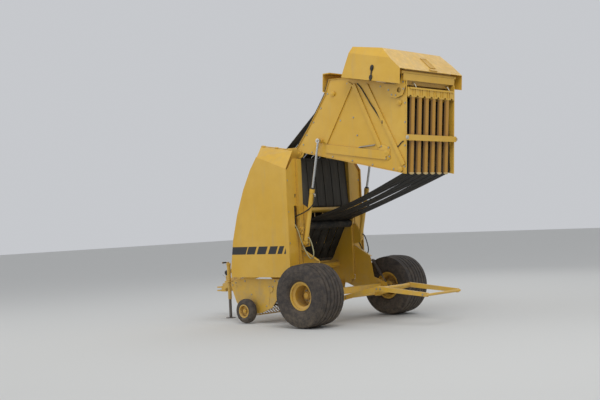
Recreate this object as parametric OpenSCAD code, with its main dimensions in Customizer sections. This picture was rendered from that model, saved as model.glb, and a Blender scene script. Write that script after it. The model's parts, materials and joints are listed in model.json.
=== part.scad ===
// Round baler with a raised tailgate, parked on its two wheels and its drawbar jack.
// The part stands on z = 0, with x forward along the drawbar, y to the left and z up.

/* [Main wheels] */
// Outer diameter of a main tyre
tyre_d = 996; // [960:1:1020]
// Width of a main tyre
tyre_w = 545; // [480:1:560]
// Diameter of the rim's flanges
rim_d = 445; // [420:1:480]
// Distance between the middles of the main tyres
track = 2180; // [2160:1:2300]
// Side of the square axle beam
axle_side = 100; // [80:1:110]
// Radius of the wheel spindles
spindle_r = 35; // [28:1:40]

/* [Gauge wheels] */
// Outer diameter of a gauge wheel
gauge_d = 400; // [370:1:410]
// Width of a gauge wheel
gauge_w = 140; // [110:1:160]
// Height of a gauge wheel above the floor
gauge_lift = 8; // [0:1:30]

/* [Chamber] */
// Clear width between the chamber walls
chamber_w = 1194; // [1190:1:1200]
// Thickness of the chamber walls
wall_t = 6; // [5:0.5:7]
// Depth of the walls' rear flanges
wall_flange = 87; // [70:1:88]
// Width of one belt
belt_w = 178; // [150:1:182]
// Pitch of the belts across the chamber
belt_pitch = 198; // [194:1:200]
// Thickness of a belt
belt_t = 8; // [6:0.5:9]

/* [Tailgate] */
// Angle by which the tailgate stands open
gate_open = 77; // [60:1:78]
// Height of the tailgate's pivots
pivot_z = 2740; // [2735:1:2745]
// Radius of the tailgate's pivot pins
pivot_r = 25; // [20:1:28]
// Thickness of the tailgate's side plates
gate_t = 6; // [5:0.5:7]
// Depth of the pressed ribs on the side plates
rib_h = 20; // [14:1:21]
// Number of slats under the tailgate
slat_count = 6; // [4:1:6]
// Width of a slat
slat_w = 124; // [110:1:140]
// Gap from the tailgate's ribs to the net box's side walls
net_box_gap = 180; // [120:1:190]

/* [Shields] */
// Distance between the outer faces of the side shields
shield_span = 1900; // [1880:1:1940]
// Thickness of the shields' sheet
sheet_t = 4; // [3:0.5:5]

/* [Cylinders] */
// Radius of a lift cylinder's barrel
barrel_r = 36; // [32:1:38]
// Radius of a lift cylinder's rod
rod_r = 19; // [16:1:22]
// Distance from the middle plane to a lift cylinder
cylinder_y = 692; // [690:1:700]

/* [Pickup] */
// Distance between the outer faces of the pickup's end plates
pickup_w = 1706; // [1690:1:1720]
// Radius of the circle that the tine tips follow
tine_reach = 212; // [200:1:215]
// Number of tine rows round the reel
tine_rows = 4; // [3:1:5]
// Number of tine pairs in a row
tine_pairs = 12; // [8:1:14]

/* [Drawbar] */
// Distance from the axle to the hitch pin
hitch_x = 3150; // [3000:10:3300]
// Height of the hitch above the floor
hitch_z = 480; // [440:5:520]
// Radius of the hitch pin's hole
hitch_pin_r = 16.5; // [14:0.5:20]
// Radius of the jack's leg
jack_r = 25; // [22:1:28]

/* [Ramp] */
// Distance from the axle to the rear end of the bale ramp
ramp_reach = 1740; // [1720:10:1780]

/* [Hidden] */

$fn = 48;
yellow = [0.83, 0.65, 0.24];
dark = [0.13, 0.13, 0.12];
rubber = [0.2, 0.18, 0.17];
steel = [0.62, 0.62, 0.6];

// clearances
fit = 0.08;        // radial running fit of a pin in its bore
gate_gap = 6;      // from a chamber wall to the tailgate's side plate
side_gap = 7;      // from the tailgate's ribs to what is fixed beside them
seat = 0.3;        // from a resting piece to its seat

// positions along x from the axle and up from the floor
hitch_lug_r = 55;
tongue_tip = hitch_x + hitch_lug_r;
mid_x = (tongue_tip - ramp_reach) / 2;
axle_z = tyre_d / 2;
pivot = [500, pivot_z];
wall_y = chamber_w / 2;
wall_out = wall_y + wall_t;
gate_y = wall_out + gate_gap;
gate_out = gate_y + gate_t;
rib_out = gate_out + rib_h;
bracket_y = rib_out + side_gap;
bracket_t = 8;
lobe_r = 85;
wall_rear = pivot.x;
shield_y = shield_span / 2;
wall_low = 620;
hinge_a = [1250, 720, 2905];
hinge_b = [560, 720, 2790];
hinge_dir = (hinge_a - hinge_b) / norm(hinge_a - hinge_b);
hinge_r = 8;
roller_wall = 7;
cross_shaft = [1610, 1145, 20];

// the walls' outline, anticlockwise seen from the right
wall_front = [[1300, 740], [1690, 800], [1690, 1060], [1610, 1480], [1480, 1860], [1310, 2240],
    [1120, 2560], [980, 2760]];
wall_outline = concat([[wall_rear, wall_low], [1120, wall_low]], wall_front,
    [[860, 2830], [560, 2830], [wall_rear, 2790]]);

// rollers as [x, z, radius] in the frame
drive_roller = [1010, 1050, 95];
top_roller = [1090, 2526, 60];
rear_top_roller = [640, 2600, 60];
arm_roller = [575, 1890, 45];
bend_roller = [526, 1563, 60];
floor_roller = [1130, 800, 75];
starter_tube = [845, 880, 50];
arm_tube = [455, 1810, 42];
arm_pivot = [1000, 1960, 38];
arm_y = wall_y - 11;

// rollers of the tailgate as [back from the pivot, up from the pivot, radius]
gate_roller_table = [[60, -2030, 55], [1030, -1850, 50], [1015, -546, 60]];

// the tailgate's points are [back, up] from the pivot, as it is closed
function closed_pt(p) = [pivot.x - p[0], pivot.y + p[1]];
function open_pt(p) = [
    pivot.x - p[0] * cos(gate_open) + p[1] * sin(gate_open),
    pivot.y + p[0] * sin(gate_open) + p[1] * cos(gate_open)];
gate_rollers_open = [for (r = gate_roller_table) let (p = open_pt(r)) [p.x, p.y, r[2]]];

gate_edge = 12;
gate_outline = [[gate_edge, -2145], [1365, -1925], [1300, -1825],
    [1270, -690], [1225, -430], [973, -385], [458, -150], [60, 62], [gate_edge, -60]];

// belt paths: a roller is [x, z, signed radius], plus where the belt turns left round it
function angle_360(v) = v - 360 * floor(v / 360);
function heading(a, b) = let (d = [b[0] - a[0], b[1] - a[1]])
    atan2(d[1], d[0]) - asin((b[2] - a[2]) / norm(d));
function turn(t0, t1, s) = s >= 0 ? angle_360(t1 - t0) : -angle_360(t0 - t1);
function belt_side(path, dirs, off, steps) = [for (i = [0:len(path) - 1])
    let (c = path[i], dt = turn(dirs[i], dirs[i + 1], c[2]), n = abs(dt) < 1 ? 0 : steps)
    for (k = [0:n]) let (t = dirs[i] + dt * (n == 0 ? 0 : k / n))
        [c[0] + (c[2] + off) * sin(t), c[1] - (c[2] + off) * cos(t)]];
function flip(list) = [for (i = [len(list) - 1:-1:0]) list[i]];
function belt_outline(path, dirs) = concat(belt_side(path, dirs, belt_t / 2, 20),
    flip(belt_side(path, dirs, -belt_t / 2, 20)));
function on_belt(r, sign) = [r[0], r[1], sign * (r[2] + belt_t / 2 + seat)];
belt_loop = [on_belt(drive_roller, 1), on_belt(top_roller, 1), on_belt(gate_rollers_open[2], 1),
    on_belt(gate_rollers_open[1], 1), on_belt(gate_rollers_open[0], 1),
    on_belt(bend_roller, -1)];
belt_heads = [for (i = [0:5]) heading(belt_loop[i], belt_loop[(i + 1) % 6])];

// small builders
module in_frame() { translate([-mid_x, 0, 0]) children(); }
module two_sides() { children(); mirror([0, 1, 0]) children(); }
module right() { mirror([0, 1, 0]) children(); }
module swung() {
    translate([pivot.x, 0, pivot.y]) rotate([0, gate_open, 0])
        translate([-pivot.x, 0, -pivot.y]) children();
}
module side_plate(points, y, t) {
    translate([0, y + t, 0]) rotate([90, 0, 0]) linear_extrude(t) polygon(points);
}
module rod_y(p, y0, y1, r) {
    translate([p[0], y0, p[1]]) rotate([-90, 0, 0]) cylinder(r = r, h = y1 - y0);
}
module roller(p, half, r, shaft_half, shaft_r) {
    difference() {
        rod_y(p, -half, half, r);
        rod_y(p, -half + 12, half - 12, r - roller_wall);
    }
    rod_y(p, -shaft_half, shaft_half, shaft_r);
}
module beam(p, q, w, h) {
    d = q - p;
    translate(p) rotate([0, -atan2(d.z, norm([d.x, d.y])), atan2(d.y, d.x)])
        translate([0, -w / 2, -h / 2]) cube([norm(d), w, h]);
}
module tube(p, q, r) {
    d = q - p;
    translate(p) rotate([0, 90 - atan2(d.z, norm([d.x, d.y])), atan2(d.y, d.x)])
        cylinder(r = r, h = norm(d));
}
function bar(p, q, w0, w1) = let (d = (q - p) / norm(q - p), n = [-d.y, d.x])
    [p + n * w0 / 2, p - n * w0 / 2, q - n * w1 / 2, q + n * w1 / 2];
module gate_plate(points, y, t) {
    side_plate([for (p = points) closed_pt(p)], y, t);
}
module belts(outline) {
    for (i = [-2.5:1:2.5]) side_plate(outline, i * belt_pitch - belt_w / 2, belt_w);
}

// frame

module wall_shape() {
    rim = 26;
    difference() {
        union() {
            side_plate(wall_outline, wall_y, wall_t);
            rod_y(pivot, wall_y, wall_out, lobe_r);
            translate([wall_rear, wall_y, 700]) cube([wall_t, wall_t + wall_flange, 1940]);
            for (i = [1:len(wall_front) - 2])
                side_plate(bar(wall_front[i], wall_front[i + 1], 8, 8), wall_out - 1, rim);
            side_plate(bar([wall_rear + 4, wall_low + 4], [1120, wall_low + 4], 8, 8),
                wall_out - 1, rim);
        }
        translate([wall_rear - 200, wall_y - 1, 600]) cube([200, 200, 2040]);
        rod_y(cross_shaft, wall_y - 1, wall_out + 1, cross_shaft[2] + 3);
    }
    rod_y(pivot, wall_out, gate_out + 34, pivot_r);
    tube(hinge_b, hinge_a, hinge_r);
    tube([740, wall_out - 3, 2805], hinge_b + hinge_dir * 180, 8);
    tube([1060, wall_out + 12, 2640], hinge_b + hinge_dir * 500, 8);
}
module left_wall() color(yellow) in_frame() wall_shape();
module right_wall() color(yellow) in_frame() right() wall_shape();

panel_x = wall_rear + 45;
panel_out = shield_y - 25;
module rear_panels() color(yellow) in_frame() two_sides() {
    inner = wall_out + wall_flange - wall_t;
    difference() {
        translate([panel_x, 0, 0]) rotate([90, 0, 90]) linear_extrude(wall_t) polygon([
            [wall_out, 780], [panel_out, 780], [panel_out, 2430], [inner + 60, 2650],
            [wall_out, 2650]]);
        translate([panel_x - 1, inner + 12, 1530]) cube([wall_t + 2, 66, 360]);
    }
    translate([wall_rear + wall_t, inner, 780]) cube([panel_x - wall_rear - wall_t, wall_t, 1860]);
}

beam_x = 1650;
lift_pivot = [1050, 560];
lift_pin_r = 24;
module front_frame() color(yellow) in_frame() {
    translate([beam_x - 50, -wall_y, 930]) cube([100, chamber_w, 110]);
    roller([860, 2470], wall_y, 38, wall_y, 12);
    roller([1420, 1900], wall_y, 30, wall_y, 12);
    roller(starter_tube, wall_y, starter_tube[2], wall_y, 12);
    two_sides() {
        rod_y(lift_pivot, wall_y - 40, pickup_w / 2 + 10, lift_pin_r);
        side_plate([[960, wall_low], [1110, wall_low], [1090, 520], [1010, 520]], wall_y, 40);
    }
}

module axle() color(yellow) in_frame() {
    half = track / 2 - 330;
    difference() {
        translate([-axle_side / 2, -half, axle_z - axle_side / 2])
            cube([axle_side, 2 * half, axle_side]);
        translate([-axle_side / 2 + 10, -half + 10, axle_z - axle_side / 2 + 10])
            cube([axle_side - 20, 2 * half - 20, axle_side - 20]);
    }
    two_sides() {
        rod_y([0, axle_z], half, half + 40, 62);
        rod_y([0, axle_z], half + 40, track / 2 + 60, spindle_r);
        for (y = [440, 476]) difference() {
            side_plate([[-50, 440], [-150, 440], [-150, 360], [-70, 360], [0, 448], [-50, 448]],
                y, 10);
            rod_y(ramp_pivot, y - 1, y + 11, ramp_pin_r + fit);
        }
    }
}

spring_low = [-125, 500];
spring_top = [180, 930];
gusset = [[wall_rear, 1200], [160, 1010], [100, 660], [-170, 560], [-170, 430], [370, 430],
    [690, 560], [690, wall_low], [wall_rear, wall_low]];
module gussets() color(yellow) in_frame() two_sides() {
    difference() {
        side_plate(gusset, bracket_y, bracket_t);
        translate([-axle_side / 2, bracket_y - 1, axle_z - axle_side / 2])
            cube([axle_side, bracket_t + 2, axle_side]);
        rod_y(spring_low, bracket_y - 1, bracket_y + bracket_t + 1, 12);
    }
    side_plate(bar([wall_rear - 6, 1190], [160, 1004], 8, 8), bracket_y + bracket_t - 1, 40);
    translate([560, wall_y, 560]) cube([120, bracket_y - wall_y + 1, wall_low - 560]);
}

module tongue() color(yellow) in_frame() {
    two_sides() difference() {
        beam([beam_x + 20, 430, 985], [hitch_x - 190, 62, hitch_z + 40], 75, 110);
        translate([beam_x - 150, 0, 900]) cube([200, 600, 300]);
    }
    beam([2300, -270, 788], [2300, 270, 788], 60, 60);
    translate([hitch_x - 260, -110, hitch_z - 40]) cube([110, 220, 100]);
    translate([hitch_x - 225, -30, hitch_z + 60]) cube([30, 60, 179.6]);
    difference() {
        translate([jack_at.x - 60, 150, 636]) cube([120, jack_at.y - 95, 16]);
        translate([jack_at.x, jack_at.y, 600]) cylinder(r = jack_r + 7 + seat, h = 80);
    }
}

module hitch() color(yellow) in_frame() difference() {
    for (z = [hitch_z - 40, hitch_z + 20]) translate([hitch_x - 150, 0, z]) {
        translate([0, -55, 0]) cube([150, 110, 20]);
        translate([150, 0, 0]) cylinder(r = hitch_lug_r, h = 20);
    }
    translate([hitch_x, 0, hitch_z - 50]) cylinder(r = hitch_pin_r, h = 110);
}

jack_at = [2560, 330];
module jack_tube() color(yellow) in_frame() {
    difference() {
        translate([jack_at.x, jack_at.y, 330]) cylinder(r = jack_r + 7, h = 620);
        translate([jack_at.x, jack_at.y, 329]) cylinder(r = jack_r + fit, h = 580);
    }
    tube([jack_at.x, jack_at.y, 950], [jack_at.x, jack_at.y, 985], 10);
    tube([jack_at.x, jack_at.y, 975], [jack_at.x, jack_at.y + 150, 975], 8);
}
module jack_leg() color(steel) in_frame() translate([jack_at.x, jack_at.y, 0]) {
    cylinder(r = 85, h = 10);
    cylinder(r = jack_r, h = 520);
}

module gearbox() color(dark) in_frame() {
    translate([1500, -110, 1040]) cube([220, 220, 205]);
    translate([1720, 0, 1145]) rotate([0, 90, 0]) cylinder(r = 62, h = 50);
    translate([1770, 0, 1145]) rotate([0, 90, 0]) cylinder(r = 22, h = 60);
    rod_y(cross_shaft, 110, 150, 60);
}

module driveline() color(dark) in_frame() {
    a = [1845.5, 0, 1145];
    b = [2980, 0, 760];
    d = (b - a) / norm(b - a);
    tube(a, a + d * 120, 48);
    tube(a + d * 120, a + d * 640, 36);
    tube(a + d * 640, b - d * 110, 30);
    tube(b - d * 110, b, 46);
}

module chain_drive() color(dark) in_frame() {
    rod_y(cross_shaft, 150 + seat, 815, cross_shaft[2]);
    // from sprocket, to sprocket, place across the machine
    for (c = [[cross_shaft, drive_roller, 62, 110, 782], [drive_roller, top_roller, 98, 78, 812]]) {
        rod_y(c[0], c[4] - 3, c[4] + 19, c[2]);
        rod_y(c[1], c[4] - 3, c[4] + 19, c[3]);
        chain([c[0][0], c[0][1], c[2] + 3], [c[1][0], c[1][1], c[3] + 3], c[4]);
    }
    rod_y(drive_roller, wall_out, 845, 24);
    rod_y(top_roller, wall_out, 845, 24);
}
module chain(a, b, y) {
    outer = chain_outline(a, b, 9);
    inner = chain_outline(a, b, -4);
    translate([0, y + 16, 0]) rotate([90, 0, 0]) linear_extrude(16) difference() {
        polygon(outer);
        polygon(inner);
    }
}
function chain_outline(a, b, off) = let (h0 = heading(a, b), h1 = heading(b, a))
    belt_side([a, b], [h1, h0, h1 + 360], off, 22);

module frame_rollers() color(dark) in_frame() {
    for (r = [drive_roller, top_roller, rear_top_roller, floor_roller])
        roller(r, wall_y - 6, r[2], wall_y - seat, 22);
    for (r = [arm_roller, bend_roller]) roller(r, arm_y - 3, r[2], arm_y - seat, 18);
}

module tension_arm() color(yellow) in_frame() {
    rod_y(arm_tube, -arm_y, arm_y, arm_tube[2]);
    rod_y(arm_pivot, -wall_y, wall_y, arm_pivot[2]);
    two_sides() {
        side_plate([[410, 1790], [470, 1540], [530, 1505], [590, 1560], [560, 1720], [1040, 1935],
            [1020, 2005], [575, 1945], [430, 1870]], arm_y, 6);
        rod_y(arm_tube, arm_y, arm_y + 7, 60);
    }
}

module front_belts() color(dark) in_frame() belts(belt_outline(
    [belt_loop[0], belt_loop[1]], [belt_heads[5], belt_heads[0], belt_heads[1]]));
module chamber_belts() color(dark) in_frame() belts(belt_outline(
    [belt_loop[5], belt_loop[0]], [belt_heads[4], belt_heads[5], belt_heads[5]]));
module lower_belts() color(dark) in_frame() belts(belt_outline(
    [belt_loop[4], belt_loop[5]], [belt_heads[4], belt_heads[4], belt_heads[4]]));
module upper_belts() color(dark) in_frame() belts(belt_outline(
    [belt_loop[1], belt_loop[2]], [belt_heads[1], belt_heads[1], belt_heads[1]]));
module gate_belts() color(dark) in_frame() belts(belt_outline(
    [belt_loop[2], belt_loop[3], belt_loop[4]],
    [belt_heads[1], belt_heads[2], belt_heads[3], belt_heads[4]]));
module inner_belts() color(dark) in_frame() {
    a = on_belt(arm_roller, 1);
    b = on_belt(rear_top_roller, 1);
    for (i = [-2.5:1:2.5]) translate([0, i * belt_pitch + belt_w / 2, 0]) rotate([90, 0, 0])
        linear_extrude(belt_w) difference() {
            polygon(chain_outline(a, b, belt_t / 2));
            polygon(chain_outline(a, b, -belt_t / 2));
        }
}

module cylinder_brackets() color(yellow) in_frame() two_sides() {
    side_plate([[wall_rear, 1215], [345, 1240], [345, 1380], [400, 1520], [wall_rear, 1540]],
        bracket_y, bracket_t);
    rod_y(cylinder_base, bracket_y + bracket_t, cylinder_y + barrel_r + 6, cylinder_pin_r);
    translate([440, bracket_y + bracket_t, 1290]) cube([55, 60, 130]);
}

module ramp_springs() color(dark) in_frame() two_sides() {
    y = (bracket_y + bracket_t + track / 2 - tyre_w / 2) / 2;
    mid = spring_top + (spring_low - spring_top) * 0.6;
    tube([spring_top.x, y, spring_top.y], [mid.x, y, mid.y], 25);
    tube([mid.x, y, mid.y], [spring_low.x, y, spring_low.y], 10);
    rod_y(spring_top, bracket_y + bracket_t, y + 32, 14);
    rod_y(spring_low, bracket_y, y + 18, 11.7);
}

// tailgate

module gate_side_shape() swung() difference() {
    union() {
        gate_plate(gate_outline, gate_y, gate_t);
        rod_y(pivot, gate_y, gate_out, lobe_r);
        rod_y(pivot, gate_out, gate_out + 14, 46);
        // truss ribs: from, to, width at each end
        for (r = [[[1215, -870], [240, -520], 95, 80], [[1200, -930], [330, -1600], 70, 60],
                [[1225, -1180], [140, -2080], 60, 60], [[150, -560], [225, -1735], 130, 130]])
            gate_plate(bar(r[0], r[1], r[2], r[3]), gate_out - 1, rib_h + 1);
        // flanges along the plate's edges
        for (i = [0:len(gate_outline) - 2])
            gate_plate(bar(gate_outline[i], gate_outline[i + 1], 8, 8), gate_out - 1, 17);
        gate_plate(bar([gate_edge + 4, -120], [gate_edge + 4, -2140], 8, 8), gate_out - 1,
            rib_h + 1);
        rod_y(closed_pt([252, -424]), gate_out - 1, cylinder_y - 27, 34);
        rod_y(closed_pt([267, -1734]), gate_out - 1, rib_out, 55);
        for (r = gate_roller_table) rod_y(closed_pt(r), gate_out - 1, rib_out, 42);
    }
    rod_y(pivot, gate_y - 1, gate_out + 20, pivot_r + fit);
    translate([pivot.x - gate_edge, gate_y - 1, 500]) cube([300, 200, 2150]);
}
module left_gate_side() color(yellow) in_frame() gate_side_shape();
module right_gate_side() color(yellow) in_frame() right() gate_side_shape();

slat_low = [20, -2127];
slat_top = [1190, -1959];
slat_pitch = 180;
comb_up = 1128;    // along the slats, from their low ends to the comb
comb_rise = 142;
module gate_slats() color(yellow) in_frame() swung() {
    p = closed_pt(slat_low);
    translate([p.x, 0, p.y])
        rotate([0, atan2(slat_top.y - slat_low.y, slat_top.x - slat_low.x), 0]) {
        for (i = [0:slat_count - 1]) translate([0, (i - (slat_count - 1) / 2) * slat_pitch, 0])
            rotate([0, -90, 0]) linear_extrude(norm(slat_top - slat_low)) polygon([
                [-2, -slat_w / 5], [-2, slat_w / 5], [20, slat_w / 2], [26, slat_w / 2],
                [5, slat_w / 6], [5, -slat_w / 6], [26, -slat_w / 2], [20, -slat_w / 2]]);
        // cross-beam over the slats
        translate([-570, -rib_out, -44]) cube([86, 2 * rib_out, 32]);
        translate([-568, -gate_y, -20]) cube([82, 2 * gate_y, 22]);
        translate([-comb_up, 0, 0]) comb();
    }
}
// comb over the slats' tops: a plate with round notches between the slats, bars and small ribs
module comb() {
    difference() {
        translate([-comb_rise, -gate_y, -9]) cube([comb_rise, 2 * gate_y, 10]);
        for (i = [0:slat_count]) translate([0, (i - slat_count / 2) * slat_pitch, -30])
            cylinder(r = (slat_pitch - slat_w) / 2, h = 60);
    }
    translate([-86, -gate_y, -2]) cube([42, 2 * gate_y, 35]);
    translate([-comb_rise, -gate_y + 40, -23]) cube([26, 2 * gate_y - 80, 16]);
    for (i = [0:slat_count - 1], side = [-1, 1])
        translate([20 - comb_rise, (i - (slat_count - 1) / 2) * slat_pitch + side * 28 - 5, -19])
            cube([comb_rise - 50, 10, 12]);
}

module gate_frame() color(yellow) in_frame() swung() {
    rod_y(closed_pt([1150, -480]), -gate_y, gate_y, 34);
    rod_y(closed_pt([1180, -1880]), -gate_y, gate_y, 34);
    gate_plate([[1262, -860], [1268, -860], [1292, -1780], [1286, -1780]], -gate_y, 2 * gate_y);
    difference() {
        gate_plate([[1005, -386], [1020, -335], [1300, -292], [1330, -420], [1232, -424]],
            -rib_out, 2 * rib_out);
        gate_plate([[1020, -394], [1030, -344], [1288, -304], [1318, -440], [1232, -434]],
            -rib_out - 1, 2 * rib_out + 2);
    }
    rod_y(closed_pt(cover_hinge), -gate_y, gate_y, 8);
}
cover_hinge = [1240, -806];

module gate_rollers() color(dark) in_frame() swung()
    for (r = gate_roller_table) roller(closed_pt(r), gate_y - 12, r[2], gate_y - seat, 22);

net_mid = [[1284, -828], [1766, -940], [1799, -1490], [1537, -1915], [1311, -1949]];
net_box_w = 2 * (rib_out + net_box_gap);
tray_tube = [1486, -1853];
module net_tray() color(yellow) in_frame() swung() {
    gate_plate([[1300, -1842], [1555, -1842], [1555, -1850], [1300, -1850]], -gate_y,
        2 * gate_y);
    rod_y(closed_pt(tray_tube), -rib_out - 70, rib_out + 70, 30);
    gate_plate([[1370, -1898], [1470, -1884], [1470, -1878], [1370, -1892]], -rib_out - 30,
        2 * rib_out + 60);
    // corner brackets from the side plates' flanges to the tube
    two_sides() difference() {
        gate_plate([[1268, -1510], [1185, -1581], [1091, -1672], [1089, -1785], [1150, -1900],
            [1290, -1932], [1380, -1900], [1510, -1872], [1500, -1825], [1360, -1830],
            [1290, -1760]], gate_out + 16 + seat, 10);
        rod_y(closed_pt([1212, -1821]), gate_out, rib_out + 20, 38);
        for (p = [[1190, -1630], [1130, -1700], [1130, -1775]])
            rod_y(closed_pt(p), gate_out, rib_out + 20, 9);
    }
    for (y = [-gate_y, gate_y - 12]) gate_plate([[1277.5, -1150], [1480, -1130], [1570, -1250],
        [1480, -1370], [1282.2, -1350]], y, 12);
}
module net_roll() color("white") in_frame() swung()
    rod_y(closed_pt([1480, -1250]), -gate_y + 12 + seat, gate_y - 12 - seat, 100);

module net_cover_solid(inset) intersection() {
    side_plate([for (p = net_profile(inset)) closed_pt(p)],
        -net_box_w / 2 + inset, net_box_w - 2 * inset);
    // the side walls lean inwards above their fold
    translate([pivot.x, 0, pivot.y - 2500]) linear_extrude(3000) polygon([
        [-1200, -net_box_w], [-1200, net_box_w], [-1655 + inset, net_box_w / 2 + 5],
        [-1810, net_box_w / 2 - 70 - inset], [-1810, -net_box_w / 2 + 70 + inset],
        [-1655 + inset, -net_box_w / 2 - 5]]);
}
// the inside of a sheet corner, and of the cover, which is open to the front and below
function inset_corner(a, b, c, d) = let (u = (b - a) / norm(b - a), v = (c - b) / norm(c - b),
    m = [u.y, -u.x], n = [v.y, -v.x]) b + d * (m + n) / (1 + m * n);
function net_profile(d) = let (p = net_mid, u = (p[1] - p[0]) / norm(p[1] - p[0]),
    v = (p[3] - p[2]) / norm(p[3] - p[2])) [
        inset_corner(p[0] - u, p[0], p[1], d) - 6 * d * u, inset_corner(p[0], p[1], p[2], d),
        inset_corner(p[1], p[2], p[3], d), inset_corner(p[2], p[3], p[3] + v, d) + 6 * d * v,
        p[4] - [6 * d, 6 * d]];
module net_cover() color(yellow) in_frame() swung() {
    difference() {
        net_cover_solid(0);
        net_cover_solid(sheet_t);
    }
    for (y = [-420, 320]) difference() {
        union() {
            rod_y(closed_pt(cover_hinge), y, y + 100, 14);
            gate_plate([[1238, -794], [1300, -822], [1300, -836], [1244, -818]], y, 100);
        }
        rod_y(closed_pt(cover_hinge), y - 1, y + 101, 8 + fit);
    }
}

// lift cylinders
cylinder_base = [390, 1300];
cylinder_pin_r = 20;
rod_pin_open = open_pt([252, -424]);
cylinder_open = norm(rod_pin_open - cylinder_base);
cylinder_tilt = atan2(cylinder_base.x - rod_pin_open.x, rod_pin_open.y - cylinder_base.y);
barrel_l = 861;
rod_in = 80;
module along_cylinder() {
    translate([cylinder_base.x, cylinder_y, cylinder_base.y]) rotate([0, -cylinder_tilt, 0])
        children();
}
module barrel_shape() along_cylinder() {
    difference() {
        union() {
            translate([0, 0, 30]) cylinder(r = barrel_r, h = barrel_l - 30);
            translate([0, 0, barrel_l - 60]) cylinder(r = barrel_r + 6, h = 60);
            rotate([90, 0, 0]) cylinder(r = 38, h = 50, center = true);
        }
        translate([0, 0, 70]) cylinder(r = barrel_r - 8, h = barrel_l - 110);
        translate([0, 0, 70]) cylinder(r = rod_r + fit, h = barrel_l);
        rotate([90, 0, 0]) cylinder(r = cylinder_pin_r + fit, h = 120, center = true);
    }
}
module rod_shape() along_cylinder() {
    translate([0, 0, barrel_l - rod_in])
        cylinder(r = rod_r, h = cylinder_open - barrel_l + rod_in - 20);
    translate([0, 0, cylinder_open]) rotate([90, 0, 0]) cylinder(r = 36, h = 44, center = true);
}
module left_barrel() color(yellow) in_frame() barrel_shape();
module right_barrel() color(yellow) in_frame() right() barrel_shape();
module left_rod() color(steel) in_frame() rod_shape();
module right_rod() color(steel) in_frame() right() rod_shape();

// bale ramp
ramp_pivot = [-110, 400];
ramp_pin_r = 20;
ramp_knee = [-810, 552];
module bale_ramp() color(yellow) in_frame() {
    rear = [-ramp_reach + 20, 468];
    rod_y(ramp_pivot, -500, 500, ramp_pin_r);
    two_sides() {
        side_plate(bar(ramp_pivot, ramp_knee, 70, 75), 385, 40);
        side_plate(bar(ramp_knee, rear, 75, 60), 385, 40);
        rod_y(ramp_knee, 385, 425, 37);
    }
    rod_y(ramp_knee, -390, 390, 24);
    rod_y(rear, -440, 440, 20);
}

// pickup
reel_at = [1510, 345];
pickup_out = pickup_w / 2;
pickup_outline = [[830, 725], [880, 620], [925, 400], [1045, 260], [1260, 178], [1390, 150],
    [1570, 140], [1790, 262], [1865, 340], [1920, 470], [1984, 625], [1900, 706], [1700, 728]];
gauge_at = [1525, gauge_d / 2 + gauge_lift];
module pickup_frame() color(yellow) in_frame() {
    two_sides() difference() {
        union() {
            side_plate(pickup_outline, pickup_out - 8, 8);
            rod_y(lift_pivot, pickup_out - 8, pickup_out + 12, 48);
            rod_y(reel_at, pickup_out - 8, pickup_out + 10, 50);
            side_plate(bar([1062, 590], [1115, 306], 12, 12), pickup_out - 1, 5);
            rod_y(gauge_at, pickup_out, pickup_out + 40, 30);
            rod_y(gauge_at, pickup_out + 40, pickup_out + 40 + gauge_w - 10, 16);
        }
        rod_y(lift_pivot, pickup_out - 20, pickup_out + 20, lift_pin_r + fit);
        rod_y(reel_at, pickup_out - 20, pickup_out + 20, 20 + fit);
        rod_y(guard_pivot, pickup_out - 20, pickup_out + 20, 14 + fit);
    }
    rod_y([1180, 400], -pickup_out + 8, pickup_out - 8, 34);
}

band_count = 2 * tine_pairs - 1;
band_span = 2 * pickup_out - 90;
band_r = 168;
module pickup_bands() color(yellow) in_frame() {
    pitch = band_span / (band_count + 1);
    arc = [-95:15:85];
    low = [1428, 136];
    band = concat([low], [for (t = arc) reel_at + band_r * [cos(t), sin(t)]],
        [[1190, 610], [1190, 605]],
        [for (t = [85:-15:-95]) reel_at + (band_r - 5) * [cos(t), sin(t)]], [low - [0, -5]]);
    for (i = [0:band_count - 1]) let (y = (i - (band_count - 1) / 2) * pitch)
        side_plate(band, y - 15, 30);
    side_plate([[1190, 612], [1190, 560], [1182, 560], [1182, 612]], -pickup_out + 8,
        2 * pickup_out - 16);
    side_plate([low + [8, -8], low + [-50, -8], low + [-50, 4], low + [8, 4]], -pickup_out + 8,
        2 * pickup_out - 16);
}

module pickup_reel() color(dark) in_frame() {
    pitch = band_span / (band_count + 1);
    bar_at = 110;
    rod_y(reel_at, -pickup_out - 8, pickup_out + 8, 20);
    for (y = [-pickup_out + 26, 0, pickup_out - 36]) rod_y(reel_at, y - 4, y + 4, bar_at + 22);
    for (k = [0:tine_rows - 1]) let (t = 20 + k * 360 / tine_rows, c = [cos(t), sin(t)]) {
        rod_y(reel_at + bar_at * c, -pickup_out + 24, pickup_out - 24, 13);
        for (i = [0:2 * tine_pairs - 1]) let (y = (i - tine_pairs + 0.5) * pitch)
            translate([reel_at.x, y, reel_at.y]) rotate([0, -t, 0])
                translate([bar_at, -3, -3]) cube([tine_reach - bar_at, 6, 6]);
    }
}

guard_pivot = [1850, 600];
guard_pitch = 110;
module windguard() color(yellow) in_frame() {
    rod_y(guard_pivot, -pickup_out - 6, pickup_out + 6, 14);
    rod_y(guard_pivot, -pickup_out + 20, pickup_out - 20, 24);
    for (i = [-7:7]) let (y = i * guard_pitch) {
        tube([guard_pivot.x, y, guard_pivot.y], [guard_pivot.x - 60, y, 480], 6);
        tube([guard_pivot.x - 60, y, 480], [guard_pivot.x - 330, y, 640], 6);
        translate([guard_pivot.x - 60, y, 480]) sphere(r = 6.5);
    }
}

// wheels

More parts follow.
